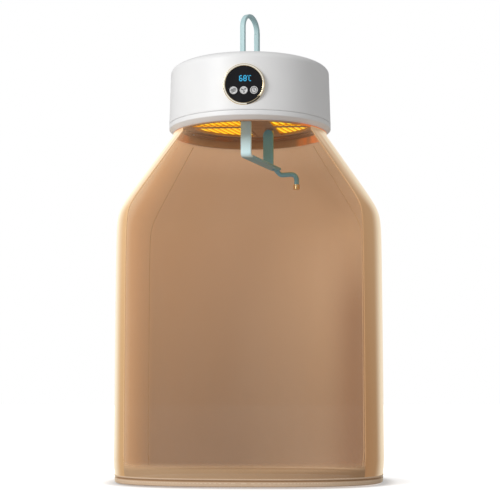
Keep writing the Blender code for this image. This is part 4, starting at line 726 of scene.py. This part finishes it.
def cover_wall():
    """The rounded edge, a quarter of an ellipse, and the drafted wall, without the cells behind the display
    and the power socket."""
    turns = np.linspace(0, math.pi / 2, 15)
    half, tall = INLET_HALF
    inlet = [DISPLAY_HEIGHT - tall, DISPLAY_HEIGHT + tall]
    levels = np.unique(np.concatenate([np.linspace(WALL_TOP, SEAM + 0.0006, 38)[1:], inlet]))[::-1]
    radius = np.concatenate([FLAT_RADIUS + (wall_radius(WALL_TOP) - FLAT_RADIUS) * np.sin(turns),
                             wall_radius(levels), [HEAD_RADIUS - 0.0002, HEAD_RADIUS - 0.0007]])
    height = np.concatenate([HEAD_TOP - DOME_HEIGHT * (1 - np.cos(turns)), levels, [SEAM + 0.0002, SEAM]])
    angles = np.radians(np.arange(360))
    edge = math.asin(half / HEAD_RADIUS)
    for jamb in (math.pi / 2 - edge, math.pi / 2 + edge):
        angles[np.abs(angles - jamb).argmin()] = jamb
    points, faces = skin(round_grid(radius, height, angles), wrap_columns=True)
    x, y, z = points[np.array(faces)].mean(axis=1).T
    z = z - DISPLAY_HEIGHT
    behind = (y < 0) & (np.hypot(x, z) < CUT_RADIUS)
    behind |= (y > 0) & (np.abs(x) < half) & (np.abs(z) < tall)
    return points, [face for face, gone in zip(faces, behind) if not gone]


def make_shell():
    """The top, the wall with its thickness, and the ring under the seam, whose ledge carries the heater
    plate."""
    build("top_cover_vents", vented_top(), WHITE, "head", "white_shell", ["top_cover"], angle=9)
    build("top_cover_wall", cover_wall(), WHITE, "head", "white_shell", ["top_cover"],
          shell=SHELL, outward=lambda p: p - type(p)((0, 0, -0.2)))
    top, ledge, inner = SEAM - GAP, PLATE_FOOT - GAP, HEAD_RADIUS - SHELL - GAP
    ring = turned([(HEAD_RADIUS, top, 0.0011), (HEAD_RADIUS, top - LIP, 0.0022), (RIM_RADIUS, RIM, 0.0012),
                   (RECESS, RIM, 0.0012), (RECESS, ledge - LEDGE, 0.0004),
                   (RECESS - LEDGE_WIDTH, ledge - LEDGE, 0.0005), (RECESS - LEDGE_WIDTH, ledge, 0.0005),
                   (inner, ledge, 0.0004), (inner, top, 0.0003)], 240)
    build("base_ring_fine", ring, RING, "head", "white_shell", ["base_ring"])


def make_screws():
    """Pan heads with a round recess and a short shank."""
    head, face = PLATE_FOOT - 0.0036, PLATE_FOOT - 0.0056
    tip = head + 0.004
    profile = [(0, face + 0.0011, 0), (0.0010, face + 0.0010, 0), (0.00125, face + 0.0001, 0),
               (0.0019, face, 0), (SCREW_HEAD, face + 0.0008, 0), (SCREW_HEAD, head, 0),
               (SCREW_SHANK, head, 0), (SCREW_SHANK, tip, 0), (0, tip, 0)]
    for k, turn in enumerate(SCREW_TURNS, 1):
        turn = math.radians(turn)
        place = (SCREW_PLACE * math.cos(turn), SCREW_PLACE * math.sin(turn), 0)
        build(f"cover_screw_{k}_fine", turned(profile, 24, place), STEEL, "head", "bright_steel",
              [f"cover_screw_{k}"])


def make_display():
    """The bezel, the lens with its three key holes, the digits, and the keys with their marks."""
    front = (0, -wall_radius(DISPLAY_HEIGHT), DISPLAY_HEIGHT)
    rim = turned([(BEZEL_RADIUS, BEZEL_BACK, 0.0003), (BEZEL_RADIUS, BEZEL_FACE, 0.0011),
                  (BEZEL_BORE, BEZEL_FACE, 0.0009), (BEZEL_BORE, SEAT_DEPTH, 0.0003),
                  (BEZEL_LIP, SEAT_DEPTH, 0.0003), (BEZEL_LIP, BEZEL_BACK, 0.0003)], 96)
    build("display_bezel_fine", placed(upright(rim), front), GOLD, "head", "gold", ["display_bezel"])
    keys = [(k * BUTTON_PITCH, -BUTTON_DROP) for k in (-1, 0, 1)]
    holes = [circle(BUTTON_RADIUS + GAP, 48, key) for key in keys]
    lens = upright(plate([circle(LENS_RADIUS, 120), *holes], LENS_FACE, LENS_FACE + LENS_THICK, 0.0004))
    build("display_lens_fine", placed(lens, front), GLASS, "head", "black_glass", ["display_lens"], angle=9)
    digits = upright(plate(digit_outlines(), LENS_FACE - 0.00012, LENS_FACE - 0.00002))
    build("display_digits", placed(digits, front), LIT, "head", "black_glass")
    key = upright(turned([(0, BUTTON_FACE + 0.00035, 0), (0.0045, BUTTON_FACE + 0.00022, 0.003),
                          (0.0066, BUTTON_FACE, 0.001), (BUTTON_RADIUS, BUTTON_FACE, 0.0007),
                          (BUTTON_RADIUS, SEAT_DEPTH, 0.0002), (FLANGE, SEAT_DEPTH, 0.0003),
                          (FLANGE, KEY_BACK, 0.0003), (KEY_STEM, KEY_BACK, 0.0002),
                          (KEY_STEM, STEM_BACK, 0.0003), (0, STEM_BACK, 0)], 64))
    marks = {"button_airflow": airflow_mark(), "button_fan": fan_mark(), "button_timer": timer_mark()}
    for (name, outlines), (across, up) in zip(marks.items(), keys):
        place = (front[0] + across, front[1], front[2] + up)
        build(name + "_key", placed(key, place), SILVER, name, "silver_button", [name])
        mark = [outline * MARK_SIZE for outline in outlines]
        mark = upright(plate(mark, BUTTON_FACE - 0.00006, BUTTON_FACE + 0.0004))
        build(name + "_mark", placed(mark, place), MARK, name, "black_glass")


def bar(centre, length, width, standing):
    """One segment of a digit: a bar with pointed ends."""
    a, b = length / 2, width / 2
    points = np.array([(-a, 0), (-a + b, -b), (a - b, -b), (a, 0), (a - b, b), (-a + b, b)])
    return (points[:, ::-1] if standing else points) + np.array(centre)


def digit_outlines():
    """Six and eight in seven segments, then the degree ring and a square C."""
    wide, tall, stroke, middle = 0.0066, 0.0118, 0.0017, 0.0116
    half, left, top = (tall - stroke) / 4, 0.0080, 0.0116 + tall / 2
    spots = {"a": (0, 2 * half), "d": (0, -2 * half), "g": (0, 0),
             "f": (-1, half), "b": (1, half), "e": (-1, -half), "c": (1, -half)}
    outlines = []
    for shift, lit in ((-0.0058, "afgedc"), (0.0024, "abcdefg")):
        for side, up in (spots[name] for name in lit):
            centre = (shift + side * (wide - stroke) / 2, middle + up)
            outlines.append(bar(centre, (2 * half if side else wide - stroke) - GAP, stroke, bool(side)))
    outlines += [circle(radius, 20, (left, top - 0.0012)) for radius in (0.0012, 0.0006)]
    for centre, length, standing in (((left + 0.0044, top - 0.0008), 0.0040, False),
                                     ((left + 0.0020, middle - 0.0004), tall - 0.0036, True),
                                     ((left + 0.0044, middle - tall / 2 + 0.0008), 0.0040, False)):
        outlines.append(bar(centre, length, stroke * 0.85, standing))
    return outlines


def airflow_mark():
    """Three strokes that rise and curl like a draught: height = a sine of the way along."""
    outlines = []
    for lift, reach in ((0.0022, 0.0040), (0.0, 0.0048), (-0.0022, 0.0036)):
        along = np.linspace(-reach, reach, 25)
        wave = lift + 0.0009 * np.sin(along / 0.0048 * math.pi)
        outlines.append(ribbon(np.stack([along, wave], 1), 0.0010))
    return outlines


def fan_mark():
    """A hub and three blades, each a leaf whose half width is a sine of the way out from the hub."""
    share = np.linspace(0, 1, 16)
    out = 0.0014 + 0.0036 * share
    leaf = np.vstack([np.stack([out, 0.0017 * np.sin(math.pi * share ** 0.7)], 1),
                      np.stack([out, -0.0004 * np.sin(math.pi * share)], 1)[::-1]])
    return [circle(0.0009, 24)] + [spun(leaf[1:-1], 2 * math.pi * k / 3 + 0.5) for k in range(3)]


def timer_mark():
    """A clock's ring with two hands."""
    hands = ribbon([(0.0, 0.0029), (0.0, 0.0), (0.0021, -0.0012)], 0.0009)
    return [circle(0.0050, 48), circle(0.0041, 48), hands]


def make_hook():
    """The hook's strap and lapped nose, the turret with its socket and lugs, the gate and its pins."""
    way = np.vstack([[(-LEG, z) for z in np.linspace(TURRET_TOP + 0.0033, CROWN, 12)[:-1]],
                     arc((0, CROWN), CROWN_RADIUS, 180, 0, 40), [(LEG, NOSE_TOP)]])
    lip = [(LEG + LAP_OUT, z) for z in (NOSE_TOP + 0.002, NOSE_MIDDLE, NOSE_FOOT)]
    hook = joined(strap(way, STRAP, STRAP_THICK, STRAP_EASE), strap(lip, STRAP, LAP_OUT_THICK, 0.0009))
    build("rail_hook_strap", placed(hook, yaw=HOOK_YAW), BLUE, "hook", "blue_steel", ["rail_hook"])
    disc = turned([(0, TURRET_TOP, 0), (TURRET_RADIUS, TURRET_TOP, 0.0014),
                   (TURRET_RADIUS, TURRET_FOOT, 0.0006), (STEM_RADIUS, TURRET_FOOT, 0.0002),
                   (STEM_RADIUS, STEM_FOOT, 0.0006), (0, STEM_FOOT, 0)], 96)
    block = eased(box(STRAP + SOCKET_WALL, STRAP_THICK + SOCKET_WALL, (0, -LEG)), 0.0022)
    pocket = eased(box(STRAP + 2 * GAP, STRAP_THICK + 2 * GAP, (0, -LEG)), 0.0012)
    socket = plate([block, pocket], TURRET_TOP - 0.003, SOCKET_TOP, 0.0006)
    foot = TURRET_TOP - 0.002
    lug = np.vstack([[(LEG - LUG_RADIUS, foot)], arc((LEG, GATE_PIVOT), LUG_RADIUS, 180, 0, 24),
                     [(LEG + LUG_RADIUS, foot)]])
    bore = circle(0.0025, 24, (LEG, GATE_PIVOT))
    lugs = [sideways(plate([lug, bore], *ends, 0.0006)) for ends in ((-LUG_OUT, -LUG_IN), (LUG_IN, LUG_OUT))]
    turret = joined(disc, socket, *lugs)
    build("turret_fine", placed(turret, yaw=HOOK_YAW), BLUE, "hook", "blue_steel", ["turret"])
    leg = strap([(LEG, z) for z in np.linspace(GATE_PIVOT, NOSE_FOOT - GAP, 12)], STRAP, STRAP_THICK, 0.0009)
    tongue = [(LEG - LAP_IN, z) for z in (NOSE_FOOT - 0.002, NOSE_MIDDLE, NOSE_TOP - GAP)]
    pivot, half, face = (0, LEG, GATE_PIVOT), STRAP / 2, LUG_OUT + GAP
    drum = turned([(0.0026, -half, 0.0002), (BARREL, -half, 0.0007), (BARREL, half, 0.0007),
                   (0.0026, half, 0.0002)], 48)
    gate = joined(leg, strap(tongue, STRAP, LAP_IN_THICK, 0.0008), placed(sideways(drum), pivot))
    build("gate_leg", placed(gate, yaw=HOOK_YAW), BLUE, "gate", "blue_steel", ["gate"])
    pin = turned([(0, -LUG_OUT, 0), (GATE_PIN, -LUG_OUT, 0.0004), (GATE_PIN, face, 0.0001),
                  (GATE_PIN_HEAD, face, 0.0002), (GATE_PIN_HEAD, LUG_OUT + 0.0012, 0.0005),
                  (0.0024, LUG_OUT + 0.0018, 0.0008), (0, LUG_OUT + 0.0018, 0)], 40)
    build("gate_pin_fine", placed(placed(sideways(pin), pivot), yaw=HOOK_YAW), STEEL, "hook", "bright_steel",
          ["gate_pin"])


def tail_way():
    """The round tail's middle line: out of the bar's end, a quarter turn to the side that sinks by a smooth
    step, and a quarter turn down."""
    turn = ARM_END - TAIL_BEND + TAIL
    side, level = turn + TAIL_BEND, -ARM_DROP - TAIL_SINK
    flat = arc((TAIL_BEND, turn), TAIL_BEND, 180, 90, 20)
    sunk = -ARM_DROP - TAIL_SINK * smooth(np.linspace(0, 1, len(flat)))
    down = arc((TAIL_RUN - TAIL_BEND, level - TAIL_BEND), TAIL_BEND, 90, 0, 14)
    first, last = (0, ARM_END - TAIL_BEND - TAIL, -ARM_DROP), (TAIL_RUN, side, level - TAIL_DROP)
    return np.vstack([[first], np.column_stack([flat, sunk]), np.insert(down, 1, side, axis=1), [last]])


def make_arm():
    """The two posts, the bar and the tail in one piece, the brass end, and the pivots' pins. A post's round
    head is a strap that narrows as the cosine of its swing while it rises as the sine."""
    swing = np.radians(np.linspace(88, 0, 10))
    rise, narrow = ARM / 2 * np.sin(swing), ARM * np.cos(swing)
    turn = arc((ARM_FRONT + ARM_BEND, -ARM_DROP + ARM_BEND), ARM_BEND, 180, 270, 12)
    level = [(y, -ARM_DROP) for y in np.linspace(ARM_FRONT + 0.02, ARM_END, 14)]
    ways = []
    for post, rest in ((ARM_FRONT, [(ARM_FRONT, -0.02), (ARM_FRONT, -0.04), *turn, *level]),
                       (ARM_REAR, [(ARM_REAR, -0.02), (ARM_REAR, -0.05), (ARM_REAR, -ARM_DROP)])):
        head = np.stack([np.full(len(rise), post), rise], 1)
        ways.append((np.vstack([head, rest]), np.concatenate([narrow, np.full(len(rest), ARM)])))
    steel = joined(strap(*ways[0], ARM_THICK, ARM_EASE), strap(*ways[1], ARM_THICK - 0.0001, ARM_EASE),
                   tube(tail_way(), TAIL, 32))
    build("hanging_arm_bar", placed(steel, ARM_PLACE, ARM_YAW), ARM_BLUE, "arm", "blue_steel",
          ["hanging_arm"])
    across, along, foot = tail_way()[-1]
    rim, tip = foot + 0.0087, foot - 0.0015
    cap = turned([(0, foot - GAP, 0), (CAP_BORE, foot - GAP, 0.0002), (CAP_BORE, rim, 0.0003),
                  (CAP_RADIUS, rim, 0.0006), (CAP_RADIUS, foot + 0.0060, 0.0004),
                  (CAP_WAIST, foot + 0.0052, 0.0004), (CAP_WAIST, foot + 0.0030, 0.0004),
                  (CAP_RADIUS, foot + 0.0022, 0.0004), (CAP_RADIUS, tip, 0.0008), (0, tip, 0)],
                 40, (across, along, 0))
    build("arm_end_cap_fine", placed(cap, ARM_PLACE, ARM_YAW), BRASS, "arm", "bearing_brass",
          ["arm_end_cap"])
    for name, post in (("front", ARM_FRONT), ("rear", ARM_REAR)):
        tip, face = post + ARM_THICK / 2 - 0.0035, post + ARM_THICK / 2 + 0.0077
        pin = turned([(0, tip, 0), (ARM_PIN, tip, 0.0004), (ARM_PIN, face, 0.0002),
                      (ARM_PIN_HEAD, face, 0.0003), (ARM_PIN_HEAD, face + 0.0012, 0.0006),
                      (0.0036, face + 0.002, 0.001), (0, face + 0.002, 0)], 40)
        build(f"arm_pin_{name}_fine", placed(upright(pin), ARM_PLACE, ARM_YAW), STEEL, "head",
              "bright_steel", [f"arm_pin_{name}"])


def window_row(side, row, grow):
    """One row of one window: the round window cut by the strip between the windows and the bar between its
    rows."""
    outline = circle(WINDOW_RADIUS + grow, 180, (WINDOW_SHIFT, 0))
    across = np.array((math.cos(STRIP_YAW), math.sin(STRIP_YAW)))
    outline = clipped(outline, -side * across, -side * STRIP_MIDDLE - STRIP_HALF + grow)
    return clipped(outline, (0, -row), -row * ROW_SPLIT - ROW_BAR / 2 + grow)


def fin_bars(side, row):
    """Round-faced fins along the arm's direction. At each place across a fin the row's outline gives where
    it starts and ends, and its face stands down by a half ellipse of that place. Each is closed by a flat
    back that lies in the backing."""
    outline = window_row(side, row, -FIN_INSET)
    across = np.array((math.cos(ARM_YAW), math.sin(ARM_YAW)))
    along = np.array((-across[1], across[0]))
    u, v = outline @ across, outline @ along
    first = math.ceil((u.min() + FIN_WIDTH / 2) / FIN_PITCH)
    last = math.floor((u.max() - FIN_WIDTH / 2) / FIN_PITCH)
    swing = np.linspace(-1, 1, 13)
    places = np.arange(first, last + 1)[:, None] * FIN_PITCH + swing * FIN_WIDTH / 2
    run, rise = np.roll(u, -1) - u, np.roll(v, -1) - v
    slanted = np.abs(run) > 1e-9
    spans = (places[..., None] - u) / np.where(slanted, run, np.inf)
    hits = np.where((spans >= 0) & (spans <= 1) & slanted, v + spans * rise, np.nan)
    low, high = np.nanmin(hits, axis=-1), np.nanmax(hits, axis=-1)
    share = np.linspace(0, 1, 15)
    ends = np.sin(np.pi * np.clip(share, 0.03, 0.97)) ** 0.25
    way = low[..., None] * (1 - share) + high[..., None] * share
    face = np.sqrt(1 - swing ** 2)[None, :, None] * ends
    seat = ELEMENT_FOOT + FIN_SEAT
    flat = places[..., None, None] * across + way[..., None] * along
    height = np.broadcast_to(seat - (seat - FIN_FOOT) * face, flat.shape[:3])
    grids = np.swapaxes(np.concatenate([flat, height[..., None]], -1), 1, 2)
    middles = np.broadcast_to(1 - np.abs(swing), grids.shape[:3]).ravel()
    return joined(*(skin(grid, wrap_columns=True, caps=True) for grid in grids)), middles


def make_heaters():
    """Each row's glowing fins and the deeper backing plate behind them."""
    for side_name, side in (("left", -1), ("right", 1)):
        for row_name, row in (("front", -1), ("rear", 1)):
            label = f"heater_{side_name}_{row_name}"
            fins, middles = fin_bars(side, row)
            build(label + "_fins", fins, FINS, "head", "heater_glow", middle=middles)
            back = plate([window_row(side, row, ELEMENT_MARGIN)], ELEMENT_FOOT, ELEMENT_TOP, 0.0002)
            build(label + "_backing", back, BACKING, "head", "heater_glow", [label], angle=9, middle=0.0)


def half_width(height):
    """The shoulder's straight slope run softly into the wall: the mean of both less half their rounded
    gap."""
    slope = NECK_RADIUS + (BAG_NECK - height) * SLOPE
    return (slope + HALF_WIDTH - np.hypot(slope - HALF_WIDTH, SLOPE_ROUNDING)) / 2


def bag_points(turns, heights, grow=0.0):
    """The bag's surface. At each height x = a |cos t|^p and y = b |sin t|^p with their signs, where a is
    the half width, b follows it from the round neck to the wall, and p falls from 1 at the neck to 2 / 2.8
    at the wall. Both draw in a little at the foot, by a smooth step."""
    a = np.where(heights > BAG_NECK, NECK_RADIUS, half_width(heights))[:, None]
    share = (a - NECK_RADIUS) / (HALF_WIDTH - NECK_RADIUS)
    b = NECK_RADIUS + share * (HALF_DEPTH - NECK_RADIUS)
    power = 2 / (2 + share * (SQUARENESS - 2))
    low = np.clip((FOOT_START - heights) / (FOOT_START - BAG_FOOT), 0, 1)[:, None]
    grow = grow - FOOT_IN * smooth(low)
    c, s = np.cos(turns)[None], np.sin(turns)[None]
    x = (a + grow) * np.sign(c) * np.abs(c) ** power
    y = (b + grow) * np.sign(s) * np.abs(s) ** power
    return np.stack([x, y, np.repeat(heights[:, None], len(turns), 1)], -1)


def bag_levels(top, foot, above, across, below):
    """Heights from top to foot, in three runs that meet where the shoulder's rounding starts and ends."""
    return np.concatenate([np.linspace(top, ROUNDING_TOP, above),
                           np.linspace(ROUNDING_TOP, ROUNDING_FOOT, across)[1:],
                           np.linspace(ROUNDING_FOOT, foot, below)[1:]])


def slack(grid, turns, heights):
    """How far the film stands in from its true surface: long shallow folds that grow toward the hem and short
    puckers under the neck, up to about 2 mm, as sums of sines of the turn and the height."""
    drop = np.clip((BAG_NECK - heights) / (BAG_NECK - HEM_TOP), 0, 1)[:, None]
    t = turns[None]
    folds = np.sin(9 * t + 2 * drop) * np.sin(5 * t - 3 * drop) * drop ** 2
    puckers = np.sin(46 * t) * np.exp(-((drop - 0.03) / 0.05) ** 2)
    held = np.sin(np.pi * np.clip(drop * 1.02, 0, 1)) ** 0.3
    depth = (0.0010 * (1 + folds) + 0.0005 * (1 + puckers)) * held
    outward = unit(grid * np.array((1.0, 1.0, 0.0)))
    return grid - outward * depth[..., None]


def film(name, start, end, finish):
    """One panel of the bag between two seams, from the neck to the hem, with its cut width, length and
    area."""
    turns = np.linspace(start, end, int(round(abs(end - start) / PANEL_STEP)) + 1)
    heights = np.append(BAG_TOP + TUCK, bag_levels(BAG_NECK, HEM_TOP - 0.002, 26, 26, 30))
    grid = slack(bag_points(turns, heights), turns, heights)
    around = np.broadcast_to(np.linspace(0, 1, len(turns)), grid.shape[:2]).ravel()
    down = np.repeat((BAG_TOP - heights) / (BAG_TOP - HEM_TOP), len(turns))
    piece = build(name, skin(grid), finish, "head", "bag_film", ["bag_shoulder", "bag_wall"], angle=60,
                  outward=lambda p: type(p)((p.x, p.y, 0)), around=around, down=down)
    sides = np.linalg.norm(np.diff(grid, axis=1), axis=-1)
    falls = np.linalg.norm(np.diff(grid, axis=0), axis=-1)
    area = float(((sides[:-1] + sides[1:]) / 2 * (falls[:, :-1] + falls[:, 1:]) / 2).sum())
    wide, long = float(sides.sum(1).max()) + SEAM_ALLOWANCE, float(falls.sum(0).max()) + SEAM_ALLOWANCE
    return piece, wide, long, area


def make_bag():
    """The clear front panel, the warm side and back panel, the piping on the seams, the hem and the
    collar."""
    heights = bag_levels(BAG_NECK - 0.002, HEM_TOP - 0.001, 30, 24, 12)
    for name, turn, around in (("front_left", math.pi + SEAM_TURN, 0.96), ("front_right", -SEAM_TURN, 0.05),
                               ("rear_left", math.pi - SEAM_TURN, 0.5), ("rear_right", SEAM_TURN, 0.5)):
        way = bag_points(np.array([turn]), heights, -PIPING_IN)[:, 0]
        build("bag_seam_" + name, tube(way, PIPING, 8), FILM_BACK, "head", "bag_binding",
                           around=around, down=0.5)
    hem, around = hem_band()
    build("bag_hem_tape", hem, BINDING, "head", "bag_binding", ["bag_hem"], around=around)
    inner, top, rim, foot = COLLAR_BORE + COLLAR_WALL, RIM + 0.012, RIM - GAP, RIM - GAP - COLLAR_WALL
    collar = turned([(COLLAR_BORE, top, 0.0004), (inner, top, 0.0004), (inner, rim, 0.0002),
                     (NECK_RADIUS, rim, 0.0006), (NECK_RADIUS, foot, 0.0006),
                     (COLLAR_BORE, foot, 0.0006)], 192)
    build("bag_collar_band", collar, COLLAR, "head", "bag_binding", ["bag_collar"])
    front = film("bag_front_panel", -math.pi + SEAM_TURN, -SEAM_TURN, FILM_FRONT)
    back = film("bag_back_panel", -SEAM_TURN, math.pi + SEAM_TURN, FILM_BACK)


def hem_band():
    """The tape round the foot: a bead of piping, a groove and a rounded rim, carried round the bag's outline,
    with its own turn stored."""
    turns = np.linspace(0, 2 * math.pi, 360, endpoint=False)
    inner, bead, groove = -0.0034, 0.0012, HEM_TOP - 0.0026
    section = np.array([(inner, HEM_TOP + 0.0012, 0.0006), (bead, HEM_TOP + 0.0012, 0.0011),
                        (bead, HEM_TOP - 0.0014, 0.0009), (-0.0002, HEM_TOP - 0.0018, 0.0003),
                        (-0.0002, groove - 0.0016, 0.0003), (0.00125, groove - 0.0022, 0.0009),
                        (0.00125, BAG_FOOT, 0.0018), (inner, BAG_FOOT, 0.001)])
    grid = np.stack([bag_points(turns, np.array([height]), grow)[0]
                     for grow, height in eased(section[:, :2], section[:, 2], 5)])
    around = np.broadcast_to(turns / (2 * math.pi), grid.shape[:2]).ravel()
    return skin(grid, wrap_rows=True, wrap_columns=True), around


# Stage

def seen_light(tree, seen, unseen):
    """A node tree's number that is one value to the camera and another to everything else."""
    span = tree.nodes.new("ShaderNodeMapRange")
    tree.links.new(tree.nodes.new("ShaderNodeLightPath").outputs["Is Camera Ray"], span.inputs["Value"])
    span.inputs["To Min"].default_value = unseen
    span.inputs["To Max"].default_value = seen
    return span.outputs[0]


def make_floor():
    """A pale floor that runs into the backdrop: its own light rises with the distance from the dryer, and a
    painted contact shadow darkens it close to the hem, whose outline is |x / a|^2.8 + |y / b|^2.8 = 1."""
    mesh = bpy.data.meshes.new("floor")
    corners = box(2 * FLOOR_REACH, 2 * FLOOR_REACH)
    mesh.from_pydata([(x, y, FLOOR) for x, y in corners], [], [(0, 1, 2, 3)])
    floor = bpy.data.objects.new("floor", mesh)
    bpy.context.collection.objects.link(floor)
    finish = Finish("floor", Base_Color=(0.6, 0.6, 0.6, 1), Roughness=0.9, Specular_IOR_Level=0.1)
    across, along = finish.along("X"), finish.along("Y")
    pale = finish.blend(across.hypot(along).step(0.26, 0.40), (0.57, 0.57, 0.57), (1.0, 1.0, 1.0))
    foot = (across / HALF_WIDTH).size() ** SQUARENESS + (along / HALF_DEPTH).size() ** SQUARENESS
    # painted contact shadow in a narrow band round the hem
    painted_contact_shadow = 1 - (foot ** (1 / SQUARENESS)).step(0.99, 1.11)
    finish.tree.links.new(seen_light(finish.tree, 1.0, 0.0), finish.shader.inputs["Emission Strength"])
    mesh.materials.append(finish.done(Emission_Color=finish.blend(painted_contact_shadow * 0.6, pale, (0.1, 0.1, 0.1))))


def make_world():
    """White to the camera, and a softer light on the object."""
    world = bpy.data.worlds.new("studio")
    bpy.context.scene.world = world
    world.use_nodes = True
    backdrop = world.node_tree.nodes["Background"]
    backdrop.inputs["Color"].default_value = (1, 1, 1, 1)
    world.node_tree.links.new(seen_light(world.node_tree, 1.0, 0.42), backdrop.inputs["Strength"])


def make_lamp(name, place, target, size, power):
    """A round soft lamp that points from its place to its target."""
    lamp = bpy.data.lights.new(name, "AREA")
    lamp.shape, lamp.size, lamp.energy = "DISK", size, power
    holder = bpy.data.objects.new(name, lamp)
    holder.location = place
    x, y, z = unit(np.array(target, float) - np.array(place, float))
    holder.rotation_euler = (math.acos(-z), 0, math.atan2(-x, y))
    bpy.context.collection.objects.link(holder)


def make_camera():
    """The photograph's view: a little to the right of the front, from below the head, looking slightly
    up."""
    distance, height, pitch, turn = 2.7961, -0.7672, 0.0895, math.radians(4.2)
    camera = bpy.data.cameras.new("camera")
    camera.lens, camera.sensor_width, camera.shift_y = 98.94, 36, 0.05
    holder = bpy.data.objects.new("camera", camera)
    holder.location = (distance * math.sin(turn), -distance * math.cos(turn), height)
    holder.rotation_euler = (math.pi / 2 + pitch, 0, turn)
    bpy.context.collection.objects.link(holder)
    bpy.context.scene.camera = holder


WHITE, RING = white_shell(), white_shell("white_ring", LINING)
# The arm's steel is the hook's, with painted light on the front post and painted shade behind it.
BLUE, ARM_BLUE = blue_steel("blue_steel", 0.0), blue_steel("blue_steel_arm", 1.0)
STEEL, BRASS = bright_steel(), brass()
GLASS, GOLD, SILVER, MARK, LIT = black_glass(), bezel_gold(), silver_button(), key_mark(), digit_light()
FINS = element_glow("element_fins", (1.0, 0.70, 0.025), (0.92, 0.40, 0.004))
BACKING = element_glow("element_backing", (0.7, 0.28, 0.01), (0.50, 0.17, 0.002))
FILM_FRONT, FILM_BACK, BINDING, COLLAR = bag_front(), bag_back(), bag_binding(), collar_tape()

make_camera()
solid_finishes()
make_shell()
make_screws()
make_display()
make_hook()
make_arm()
make_heaters()
make_bag()
make_floor()
make_world()
make_lamp("key", (-1.91, -2.27, 0.9), (0, 0, -0.4), 1.5, 64)
make_lamp("fill", (2.4, -1.8, -0.2), (0, 0, -0.5), 1.8, 5)
bpy.context.scene.view_settings.view_transform = "Standard"
